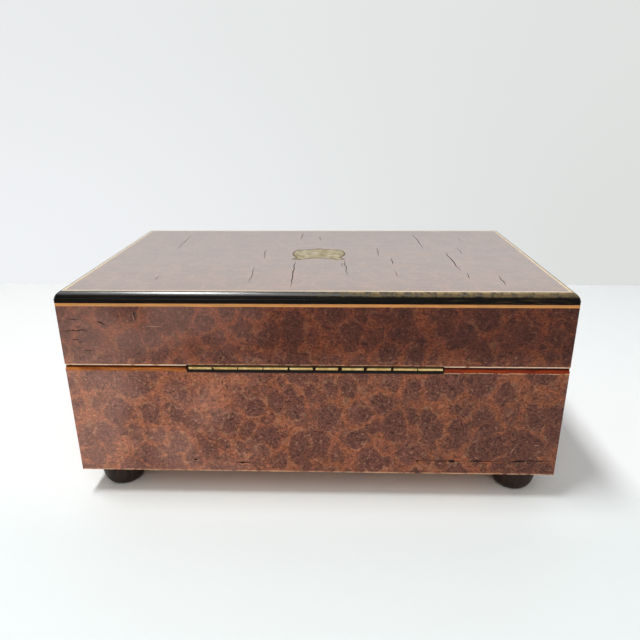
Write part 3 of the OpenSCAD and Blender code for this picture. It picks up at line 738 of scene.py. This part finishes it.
TOP_CRACKS = [  # from (x, y) to (x, y) on the lid, with the widest opening
    ((10.5, 19), (9.4, 60.5), 0.42), ((-11.9, 17.2), (-13.2, 43), 0.34), ((-60.6, 1), (-61.4, 35.7), 0.46),
    ((-49.8, -40.5), (-51.4, -6), 0.36), ((-28.5, -7), (-28.4, 10), 0.34), ((-33.7, 14.4), (-33.7, 25), 0.34),
    ((71.7, -37.5), (70.9, -5.5), 0.3), ((26.4, -3), (25.3, 15), 0.3), ((10.5, -43), (10.7, -26.5), 0.34),
    ((27.4, 30), (26.4, 55), 0.26), ((-75.3, 43.5), (-75.1, 56.5), 0.36), ((-68.1, -7), (-68.5, 5.5), 0.26),
    ((-63.5, 39), (-62.4, 48), 0.26), ((66.1, 45), (65.6, 51), 0.26), ((0.7, -35), (0.3, -22.5), 0.24),
    ((-11, 22), (-10.8, 30), 0.24), ((-33.5, 36), (-33.9, 46), 0.24), ((-73, -30), (-73.6, -22), 0.22),
]
SPLIT, BARE, SCORED = 1, 2, 3     # dark splits, bare orange wood, pale scratches
BASE_MARKS = [  # from (x, z) to (x, z) on the back, with the widest opening and its finish
    ((-41, 18.3), (-62, 18.3), 0.4, SPLIT), ((-61, 18.2), (-82, 18.3), 0.34, SPLIT),
    ((-80, 18.4), (-99, 18.8), 0.42, SPLIT), ((-82, 18.4), (-88, 18.5), 1.0, SPLIT),
    ((-42, 18.2), (-43.4, 18.2), 1.0, SPLIT), ((-64.5, 18.5), (-69, 18.3), 0.8, SPLIT),
    ((-55.6, 18.1), (-58.6, 18.2), 1.5, SPLIT), ((-57.4, 18.5), (-60.4, 19.1), 0.9, BARE),
    ((-68.3, 17.6), (-74, 17.9), 0.34, BARE), ((-73.8, 17.9), (-79, 18.2), 0.34, BARE),
    ((-51.9, 17), (-52.6, 17.1), 0.6, SCORED), ((-90.1, 26.3), (-92.4, 26.3), 0.35, SCORED),
    ((-66.4, 20.3), (-68.3, 19.2), 0.3, SCORED), ((-81, 22.4), (-82.6, 25.5), 0.28, SCORED),
    ((34.5, 16.3), (26.5, 16.2), 0.55, SPLIT), ((32, 16.4), (29.5, 16.3), 1.0, SPLIT),
    ((53.2, 17.6), (48.5, 17.2), 0.3, SCORED), ((51.6, 17.5), (50, 17.4), 0.9, SPLIT),
]
LID_MARKS = [
    ((98.4, 75.9), (88, 76), 0.4, SPLIT), ((97.1, 80.7), (90.5, 80.7), 0.3, SPLIT),
    ((84.3, 79.7), (81.4, 78.5), 0.6, SPLIT), ((69.8, 83.7), (69, 81.4), 0.4, SPLIT),
    ((95.5, 72.2), (92.6, 72.2), 0.3, SPLIT), ((92.2, 67.5), (87.3, 67.5), 0.25, SPLIT),
    ((65.8, 77.8), (59.1, 77.9), 0.28, SCORED), ((70.3, 83), (69.4, 79.5), 0.24, SCORED),
]
CRACK_DEEP, SPLIT_DEEP, SCORED_DEEP = 0.85, 0.8, 0.12
WIDE = 0.3      # a top crack wider than this is open, and a finer one holds dust
PROUD = 0.4     # how far a cutter stands out of the veneer
chance = random.Random(7)


def crack_sliver(bm, start, end, width, depth, wander, pieces, finish):
    """A tapering wavy sliver from start to end in the z = 0 plane, sunk by depth and a little proud."""
    start, end = Vector((*start, 0)), Vector((*end, 0))
    run = end - start
    side = run.normalized().cross(Vector((0, 0, 1)))
    before = set(bm.faces)
    made = ops.create_grid(bm, x_segments=pieces, y_segments=1, size=0.5)["verts"]
    sways = [chance.uniform(-wander, wander) for _ in range(pieces + 1)]
    for vert in made:
        share = vert.co.x + 0.5
        at = round(share * pieces)
        half = width / 2 * sin(pi * min(max(share, 0.03), 0.97)) ** 0.7
        vert.co = start + run * share + side * (sways[at] + half * (1 if vert.co.y > 0 else -1))
        vert.co.z = -depth
    flat = set(bm.faces) - before
    rims = {edge for face in flat for edge in face.edges}
    grown = ops.extrude_face_region(bm, geom=[*flat, *rims], use_keep_orig=True)["geom"]
    ops.translate(bm, vec=(0, 0, depth + PROUD), verts=verts_in(grown))
    finish_new(bm, before, finish)


def back_sliver(start, end, width, finish):
    """What crack_sliver takes for a mark on the back, longer ones in more pieces."""
    pieces = max(4, round(dist(start, end)))
    deep = SPLIT_DEEP if finish == SPLIT else SCORED_DEEP
    return start, end, width, deep, min(0.3, 0.03 * pieces), pieces, finish


def marked(node, name, body, finishes, slivers, to_place):
    """A veneer with slivers cut out of it, each drawn in the z = 0 plane and moved by to_place."""
    veneer = piece(name, copy_of(node), finishes, body, 20)
    cutter = bmesh.new()
    for sliver in slivers:
        crack_sliver(cutter, *sliver)
    ops.transform(cutter, matrix=to_place, verts=cutter.verts)
    ops.recalc_face_normals(cutter, faces=cutter.faces)
    tool = piece("cutter", cutter, finishes)
    assign(veneer.modifiers.new("slit", "BOOLEAN"), operation="DIFFERENCE", solver="EXACT", use_self=True,
           object=tool)
    baked(veneer, 1)
    bpy.data.objects.remove(tool)
    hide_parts(node)


marked("lid_top_veneer", "cracked_top_veneer", "lid", [top_veneer, crack_wood, crack_dust],
       [(*crack, CRACK_DEEP, 0.35, 9, 1 if crack[2] > WIDE else 2) for crack in TOP_CRACKS],
       Matrix.Translation((0, 0, TOP_Z)))
face_out = Matrix.Translation((0, BACK_Y, 0)) @ Matrix.Rotation(radians(-90), 4, "X")
for part, body, marks in (("base", "case", BASE_MARKS), ("lid", "lid", LID_MARKS)):
    marked(part + "_back_veneer", f"marked_{part}_veneer", body,
           [side_veneer, crack_wood, bare_wood, scored_wood], [back_sliver(*mark) for mark in marks],
           face_out @ Matrix.Diagonal((1, -1, 1, 1)))

# ---- moulding, plate and metalwork ----

MOULDING_W = 2.4
ROLL = 2.2
QUIRK = 0.2        # the small ledge under the roll
FLAT = 1.3         # how much flatter than a quarter round the roll is


def moulding(name, side):
    """One mitred side of the moulding: 0 front, 1 right, 2 back, 3 left."""
    low = edges_of(name)[0].z
    run, reach = (CASE_HALF, (BACK_Y - FRONT_Y) / 2)[::1 if side % 2 == 0 else -1]
    roll = [(QUIRK + (ROLL - QUIRK) * (1 - cos(a) ** FLAT), TOP_Z - ROLL * (1 - sin(a) ** FLAT))
            for a in (radians(a) for a in range(0, 91, 6))]
    section = [(0, low), (0, TOP_Z - ROLL - 2 * QUIRK), (QUIRK, TOP_Z - ROLL - QUIRK), *roll,
               (MOULDING_W, TOP_Z), (MOULDING_W, low)]
    bm = bmesh.new()
    face = bm.faces.new([bm.verts.new((inset - run, inset - reach, z)) for inset, z in section])
    grown = ops.extrude_face_region(bm, geom=[face], use_keep_orig=True)["geom"]
    for vert in verts_in(grown):
        vert.co.x = -vert.co.x
    turn = Matrix.Translation((0, MID_Y, 0)) @ Matrix.Rotation(pi / 2 * side, 4, "Z")
    ops.transform(bm, matrix=turn, verts=bm.verts)
    obj = piece("rolled_" + name, outward(bm), ebonised, "lid", 25)
    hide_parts(name)


def softened(node, width, finishes, body, segments=2, rim=0):
    """A node's form with its sharp edges eased. A rim is given the second finish, with the eased edges."""
    bm = copy_of(node)
    sharp = [e for e in bm.edges if len(e.link_faces) == 2 and e.calc_face_angle(0) > radians(30)]
    edged = ops.bevel(bm, geom=sharp, offset=width, offset_type="OFFSET", affect="EDGES",
                      segments=segments, profile=0.5, material=-1, clamp_overlap=True)["faces"]
    if rim:
        top = [face for face in bm.faces if face.normal.z > 0.99]
        edged += ops.inset_region(bm, faces=top, thickness=rim, depth=0, use_even_offset=True)["faces"]
    for face in edged:
        face.material_index = 1 if rim else 0
    obj = piece("eased_" + node, bm, finishes, body, 35)
    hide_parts(node)


for side, name in enumerate(("moulding_front", "moulding_right", "moulding_back", "moulding_left")):
    moulding(name, side)
softened("name_plate", 0.3, [plate_brass, plate_rim_line_and_shade], "lid", 1, rim=0.5)
softened("keyhole_plate", 0.15, [lock_brass], "case")
softened("key", 0.25, [steel], "key")
softened("lock_bolt", 0.12, [lock_brass], "bolt")

# ---- spring and sleeve ----

SPRING_LOW, SPRING_HIGH = 19.5, 31.5
RISE = 101
COIL_R, WIRE_R, TURNS = 15, 0.6, 5
PLEATS = 18
FOLD_IN, FOLD_OUT = 16.5, 19.6


def even_rest(share):
    """Height at rest of a point that stands at an even share of the raised spring."""
    full = SPRING_HIGH - SPRING_LOW
    low, high = 0.0, 1.0
    for _ in range(30):
        t = (low + high) / 2
        raised = full * t + RISE * t * t * (3 - 2 * t)
        low, high = (t, high) if raised < (full + RISE) * share else (low, t)
    return SPRING_LOW + full * t


def across_the_spring(obj):
    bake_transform(obj)


def spring():
    upright = Matrix.Translation((COIL_R, 0, 0)) @ Matrix.Rotation(pi / 2, 4, "X")
    rings = []
    for share in shares(TURNS * 24):
        high = min(max(even_rest(share), SPRING_LOW + WIRE_R), SPRING_HIGH - WIRE_R)
        spot = Matrix.Translation((0, MID_Y, high)) @ Matrix.Rotation(tau * TURNS * share, 4, "Z")
        rings.append((spot @ upright, WIRE_R))
    bm = bmesh.new()
    tube(bm, rings, 8)
    obj = piece("wound_spring", outward(bm), steel, None)
    across_the_spring(obj)
    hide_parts("coil_spring")


def sleeve():
    """The pleated cloth round the spring, pressed flat with the lid shut."""
    profile = [(FOLD_OUT if i % 2 else FOLD_IN, even_rest(share))
               for i, share in enumerate(shares(2 * PLEATS))]
    bm = outward(spun(bmesh.new(), profile))
    for vert, out, angle in round_middle(bm):
        sway = 0.18 * sin(9 * angle + vert.co.z) + 0.12 * sin(23 * angle + 3 * vert.co.z)
        vert.co += out.normalized() * sway
    flat = sum(face.calc_area() for face in bm.faces) * MM * MM
    obj = piece("pleated_sleeve", bm, sleeve_cotton, None, 30)
    across_the_spring(obj)
    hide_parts("spring_sleeve")


spring()
sleeve()

# ---- the figure ----

BODY_LOW, BODY_HIGH, BODY_R = 34.5, 47.5, 17
HEAD_R = 15.5
NECK_LOW, NECK_HIGH, NECK_R = 38, 53, 4.4
EYE_OUT, EYE_UP = 5, 0.8          # from the middle of the head
RUFF_Z = 49.25
RUFF_WAVES = 20
RUFF_IN, RUFF_OUT = 4.6, 18.2
CAP_R = HEAD_R + 1.3
BRIM_Z = HEAD.z + 3.5
SHOULDER = (11.5, 42.1)
ARM_LEN = 46
ARM_SLOPE = radians(12)


def jacket():
    """Stuffed woollen jacket with gathers at the waist and a shallow line pressed in down the front."""
    form = [(BODY_R, 0), (2.5, 0), (0.6, 1.2), (0, 3), (0.2, 5.5), (1, 8), (3, 10.4), (6, 12.2), (9.5, 13),
            (BODY_R, 13)]
    bm = outward(spun(bmesh.new(), [(BODY_R - inset, BODY_LOW + high) for inset, high in form]))
    for vert, out, angle in round_middle(bm):
        if out.length < 1:
            continue
        share = (vert.co.z - BODY_LOW) / (BODY_HIGH - BODY_LOW)
        gather = sin(22 * angle + 2 * sin(3 * angle)) * (0.55 * (1 - share) ** 2 + 0.2)
        vert.co -= out.normalized() * (0.45 - 0.6 * gather)
        if abs(angle + pi / 2) < 0.12:
            vert.co -= out.normalized() * 0.35
    obj = piece("stuffed_jacket", bm, jacket_wool, "jack", 60)
    assign(obj.modifiers.new("round", "SUBSURF"), levels=1, render_levels=1)
    baked(obj, 60)
    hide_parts("jack_body")


def buttons():
    bm = bmesh.new()
    for high, reach in ((37.2, 16.9), (40.4, 16.4), (43.6, 14.7)):
        out = Vector((0, -1, 0.12 + (high - 37) * 0.07))
        ball(bm, (0, MID_Y - (reach - 0.55), high), 1.15, (1, 1, 0.5), out, 20, 12)
    piece("jacket_buttons", outward(bm), lock_brass, "jack")


def along_arm(side, share, sway=0):
    """Point on an arm's middle line, share of the way from the shoulder, pushed off it."""
    reach = ARM_LEN * share
    return Vector((side * (SHOULDER[0] + reach * cos(ARM_SLOPE)), MID_Y + sway,
                   SHOULDER[1] - reach * sin(ARM_SLOPE)))


def arm(side, name):
    """A stuffed sleeve, creased at the elbow and gathered into a braided cuff."""
    bm = bmesh.new()
    stations = []
    for share in shares(40):
        crease = 0.28 * sin(share * 58) * exp(-((share - 0.45) / 0.16) ** 2)
        crease += 0.22 * sin(share * 74 + 1) * exp(-((share - 0.9) / 0.08) ** 2)
        radius = 4.65 - 0.5 * share + crease - 2.2 * max(0, 0.04 - share) / 0.04
        stations.append((along_arm(side, 0.02 + 0.94 * share, 0.3 * sin(share * 9)), radius))
    limb(bm, stations, 24)
    outward(bm)
    for vert in bm.verts:
        out = vert.co - along_arm(side, abs(vert.co.x - side * SHOULDER[0]) / ARM_LEN)
        vert.co += out * 0.02 * sin(5 * atan2(out.y, out.z) + vert.co.x * 0.7)
    obj = piece(name + "_sleeve_stuffed", bm, jacket_wool, "jack", 60)
    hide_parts(name)
    cuff = bmesh.new()
    limb(cuff, [(along_arm(side, a), r) for a, r in
                ((0.925, 3.4), (0.93, 4.35), (0.95, 4.5), (0.975, 4.45), (0.995, 4.2), (1.0, 3.2))], 28)
    piece(name + "_cuff", outward(cuff), trim_braid, "jack")


def hand(bm, side):
    """A mitten-like carved hand: palm, four short fingers and a thumb."""
    ahead = Vector((side * cos(ARM_SLOPE), 0, -sin(ARM_SLOPE)))
    wrist = along_arm(side, 1)
    across = Vector((0, 1, 0))
    palm = wrist + ahead * 4
    ball(bm, palm, 3.9, (0.62, 1, 1), ahead)
    limb(bm, [(wrist - ahead * 0.6, 2.2), (wrist + ahead * 1.4, 2.3)], 16)
    for k in range(4):
        shift = across * (k - 1.5) * 1.75
        root = palm + shift * 0.9 + ahead * 1.2
        tip = wrist + ahead * (8.5 - 0.5 * abs(k - 1.4)) + shift
        curl = Vector((0, 0, 0.3))
        limb(bm, [(root, 1.15), (root.lerp(tip, 0.5) + curl, 1.15), (tip - curl, 0.85)], 12)
        ball(bm, tip - curl, 0.9, u=12, v=8)
    thumb = palm - across * 3.2 + ahead * 0.2
    tip = thumb + ahead * 2.2 - across * 0.4
    limb(bm, [(palm - across * 1.6 - ahead * 0.6, 1.3), (thumb, 1.25), (tip, 0.9)], 12)
    ball(bm, tip, 0.95, u=12, v=8)


def hands():
    bm = bmesh.new()
    hand(bm, -1)
    hand(bm, 1)
    obj = fused(piece("carved_hands", outward(bm), hand_paint, "jack"), 0.35, 5)
    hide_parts("jack_hands")


def at_head(x, y, z):
    return HEAD + Vector((x, y, z))


def on_face(x, z, lift):
    """A point on the head's surface in front, at x and z from its middle."""
    reach = HEAD_R + lift
    return at_head(x, -sqrt(reach * reach - x * x - z * z), z)


def head():
    """Turned and carved head: a narrower jaw, a chin, a nose, ears and a peg for the neck."""
    bm = bmesh.new()
    ball(bm, HEAD, HEAD_R, u=64, v=48)
    for vert in bm.verts:
        rel = vert.co - HEAD
        low = max(0, -rel.z - 2) / HEAD_R
        front = max(0, -rel.y) / HEAD_R
        rel.x *= 1 - 0.16 * low
        rel.y *= 1 - 0.06 * low
        for side in (-1, 1):
            socket = Vector((side * EYE_OUT, -14, EYE_UP))
            rel.y += 0.7 * exp(-((rel - socket).length / 2.6) ** 2) * (front > 0)
        chin = Vector((0, -12.2, -9.6))
        rel.y -= 0.8 * exp(-((rel - chin).length / 2.8) ** 2) * (front > 0)
        vert.co = HEAD + rel
    limb(bm, [(at_head(0, -14.6, 3.2), 0.9), (at_head(0, -15.4, 0.6), 1.3), (at_head(0, -16.1, -1.4), 2)], 16)
    ball(bm, at_head(0, -16, -1.6), 2.25, (1, 1, 0.9), u=20, v=14)
    for side in (-1, 1):
        ball(bm, at_head(side * 1.5, -15.2, -2.3), 1.25, u=14, v=10)
        ball(bm, at_head(side * 15.1, 0.4, -0.8), 2.3, (0.5, 0.8, 1.1), u=18, v=12)
    limb(bm, [((0, MID_Y, NECK_LOW), NECK_R), ((0, MID_Y, NECK_HIGH), NECK_R)], 32)
    obj = fused(piece("carved_head", outward(bm), face_paint, "jack"), 0.45, 3)
    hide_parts("jack_head")


def stroke(bm, points, radius, finish):
    """A thin raised line of paint over points on the face, tapered at both ends."""
    stations = []
    for point, share in zip(points, shares(len(points) - 1)):
        swell = sin(pi * min(max(share, 0.06), 0.94)) ** 0.5
        stations.append((point, radius * swell))
    limb(bm, stations, 10, finish)


def face_details():
    """Eyes, lids, brows and mouth, calm and plain, painted on in low relief."""
    bm = bmesh.new()
    for side in (-1, 1):
        eye = on_face(side * EYE_OUT, EYE_UP, -0.75)
        out = (eye - HEAD).normalized()
        ball(bm, eye, 2.1, (1, 0.72, 0.42), out, 28, 18, 0)
        ball(bm, eye + out * 0.5, 1.05, (1, 1, 0.45), out, 20, 12, 1)
        ball(bm, eye + out * 0.82, 0.5, (1, 1, 0.4), out, 14, 10, 3)
        lid = [on_face(side * (EYE_OUT + 2.3 * cos(a)), EYE_UP + 0.1 + 1.55 * sin(a), 0.08)
               for a in (radians(d) for d in range(10, 171, 16))]
        stroke(bm, lid, 0.28, 2)
        brow = [on_face(side * (2.6 + 5.2 * t), 2.3 + 0.9 * sin(pi * t) + 0.1 * t, 0.05)
                for t in shares(9)]
        stroke(bm, brow, 0.42, 2)
    smile = [on_face(-4.2 + 8.4 * t, -6.6 - 0.9 * sin(pi * t), 0.05) for t in shares(14)]
    stroke(bm, smile, 0.55, 4)
    under = [on_face(-2.6 + 5.2 * t, -7.9 - 0.5 * sin(pi * t), -0.05) for t in shares(9)]
    stroke(bm, under, 0.6, 4)
    paints = [eye_white, eye_blue, brow_brown, pupil_black, lip_red]
    piece("painted_features", outward(bm), paints, "jack")


def ruff():
    """A linen ruff: two layers of cloth thrown into figure-of-eight pleats round the neck."""
    bm = bmesh.new()
    for layer in (-1, 1):
        spun(bm, [(r, RUFF_Z) for r in (RUFF_IN, 6.5, 9, 11.5, 14, 16, 17.4, RUFF_OUT)], RUFF_WAVES * 10)
        for vert, out, angle in round_middle(bm):
            if vert.tag:
                continue
            share = max(0, out.length - RUFF_IN) / (RUFF_OUT - RUFF_IN)
            wave = sin(RUFF_WAVES * angle + (0.9 if layer > 0 else -0.6))
            vert.co.z = RUFF_Z + layer * 0.55 + wave * 0.95 * share ** 0.8
            vert.tag = True
    flat = sum(face.calc_area() for face in bm.faces) * MM * MM
    obj = piece("pleated_ruff", bm, ruff_cloth, "jack", 60)
    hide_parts("jack_ruff")


def cap():
    """Two-horned felt cap in two colours, fused into one skin, with a braid round the brim."""
    bm = bmesh.new()
    ball(bm, HEAD, CAP_R, u=64, v=48)
    ops.bisect_plane(bm, geom=[*bm.verts, *bm.edges, *bm.faces], plane_co=(0, 0, BRIM_Z),
                     plane_no=(0, 0, -1), clear_outer=True)
    ops.contextual_create(bm, geom=[e for e in bm.edges if e.is_boundary])
    line = [(6, 12, 5.4), (12, 14.6, 4.9), (18.5, 13.4, 4), (23.2, 10.4, 3.2), (27, 6.6, 2.15)]
    for side in (-1, 1):
        limb(bm, [(at_head(side * x, 0, z), r) for x, z, r in line], 28)
        ball(bm, at_head(side * 6, 0, 12.2), 5.35, u=28, v=18)
        ball(bm, at_head(side * 27, 0, 6.5), 2.15, u=16, v=10)
    obj = fused(piece("felt_cap", outward(bm), [cap_red, cap_blue], "jack"), 0.45, 8)
    for face in obj.data.polygons:
        face.material_index = 1 if face.center.x > 0 else 0
    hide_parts("jack_cap")
    brim_r = sqrt(CAP_R ** 2 - (BRIM_Z - HEAD.z) ** 2)
    form = [(-1.2, -0.3), (0.35, -0.1), (0.75, 0.7), (0.6, 1.6), (0.1, 2.2), (-1.2, 2), (-1.2, -0.3)]
    trim = outward(spun(bmesh.new(), [(brim_r + out, BRIM_Z + high) for out, high in form]))
    for vert, out, angle in round_middle(trim):
        vert.co += out.normalized() * 0.1 * sin(60 * angle + 2.2 * vert.co.z)
    piece("brim_braid", trim, trim_braid, "jack")


jacket()
buttons()
arm(-1, "jack_left_arm")
arm(1, "jack_right_arm")
hands()
head()
face_details()
ruff()
cap()

# ---- lights, floor and backdrop ----

SKY_LEVEL = 0.12
SKY_SEEN = (236, 238, 240)
SCREEN_Y = -257
SCREEN_BEND = 9
SCREEN_HALF = 2200
SCREEN_HIGH = 1000
FLOOR_HALF = 4000
LIT = Vector((0, MID_Y, 50))      # where the lamps point


def lamp(name, towards, distance, size, watts, colour):
    data = assign(bpy.data.lights.new(name, "AREA"), shape="RECTANGLE", size=size[0], size_y=size[1],
                  energy=watts, color=colour)
    aim = Vector(towards).normalized()
    across = Vector((0, 1, 0)).cross(aim).normalized()
    turn = Matrix((across, aim.cross(across), aim)).transposed().to_4x4()
    placed(name, data, Matrix.Translation(LIT * MM + aim * distance) @ turn)


def floor_finish():
    """A pale floor that fades into haze far off, for the camera alone."""
    f = Finish("studio_floor", roughness=0.45, specular_ior_level=0.3)
    # Painted light and shade: the floor is lighter towards -x and darker towards +y, in front of the hinge
    # side.
    f.colour = f.mix(f.x.step(0, -110), (246, 247, 247), (249, 251, 252))
    f.colour = f.mix(f.y.step(40, 100), f.colour, (235, 241, 242))
    far = f.vectors("LENGTH", f.mm, out="Value").step(500, 1300)
    far *= f.node("LightPath").outputs["Is Camera Ray"]
    f.surface(f.both(far, f.shader.outputs[0], f.glow(SKY_SEEN)))
    return f.finished()


def screen_finish():
    """A backdrop that shows its own tone, and from behind lets everything through."""
    f = Finish("studio_backdrop", roughness=0.9)
    f.colour = (176, 178, 180)
    # Painted light: the tone the camera sees is lighter towards +x and evens out upwards. Glossy rays see a
    # glow that brightens above 170 mm, a painted source for reflections.
    tone = f.mix(f.x.step(-320, 320), (221, 223, 221), (241, 243, 246))
    tone = f.mix(f.z.step(20, 240) * 0.5, tone, (227, 229, 228))
    gloss = f.mix(f.z.step(110, 170), (0.52, 0.54, 0.55, 1), (1, 1, 1, 1))
    ray = f.node("LightPath").outputs
    seen = f.shader.outputs[0]
    for kind, colour in (("Is Transmission Ray", tone), ("Is Glossy Ray", gloss), ("Is Camera Ray", tone)):
        seen = f.both(ray[kind], seen, f.glow(colour))
    through = f.node("BsdfTransparent").outputs[0]
    f.surface(f.both(f.node("NewGeometry").outputs["Backfacing"], seen, through))
    return f.finished()


def make_stage():
    floor = bmesh.new()
    ops.create_grid(floor, x_segments=1, y_segments=1, size=FLOOR_HALF)
    piece("studio_floor", floor, floor_finish())
    screen = bmesh.new()
    bend = [(SCREEN_Y + SCREEN_BEND * (1 - sin(a)), SCREEN_BEND * (1 - cos(a)))
            for a in (pi / 2 * share for share in shares(10))]
    line = [(y, z + 0.05) for y, z in bend] + [(SCREEN_Y, SCREEN_HIGH)]
    verts = [screen.verts.new((-SCREEN_HALF, y, z)) for y, z in line]
    lines = [screen.edges.new(pair) for pair in zip(verts, verts[1:])]
    grown = ops.extrude_edge_only(screen, edges=lines)["geom"]
    ops.translate(screen, vec=(2 * SCREEN_HALF, 0, 0), verts=verts_in(grown))
    screen.normal_update()
    for face in screen.faces:
        if face.normal.y + face.normal.z < 0:
            face.normal_flip()
    piece("studio_backdrop", screen, screen_finish(), smooth=60)


def make_sky():
    """Weak light from all round. The camera and glossy surfaces see the haze there instead."""
    scene.world = bpy.data.worlds.new("studio")
    g = Graph(scene.world)
    ray = g.node("LightPath").outputs
    lit = g.node("Background", {"Color": (1, 1, 1, 1), "Strength": SKY_LEVEL}).outputs[0]
    seen = g.node("Background", {"Color": SKY_SEEN}).outputs[0]
    either = g.math("MAXIMUM", ray["Is Camera Ray"], ray["Is Glossy Ray"])
    g.node("OutputWorld", {"Surface": g.both(either, lit, seen)})


make_stage()
make_sky()
lamp("key", towards=(0.3, 0.12, 1.0), distance=1.3, size=(0.19, 0.54), watts=12, colour=(0.98, 1.0, 1.0))
lamp("fill", towards=(-0.1, 1.0, 0.9), distance=1.7, size=(1.5, 1.5), watts=13, colour=(1.0, 0.97, 0.92))
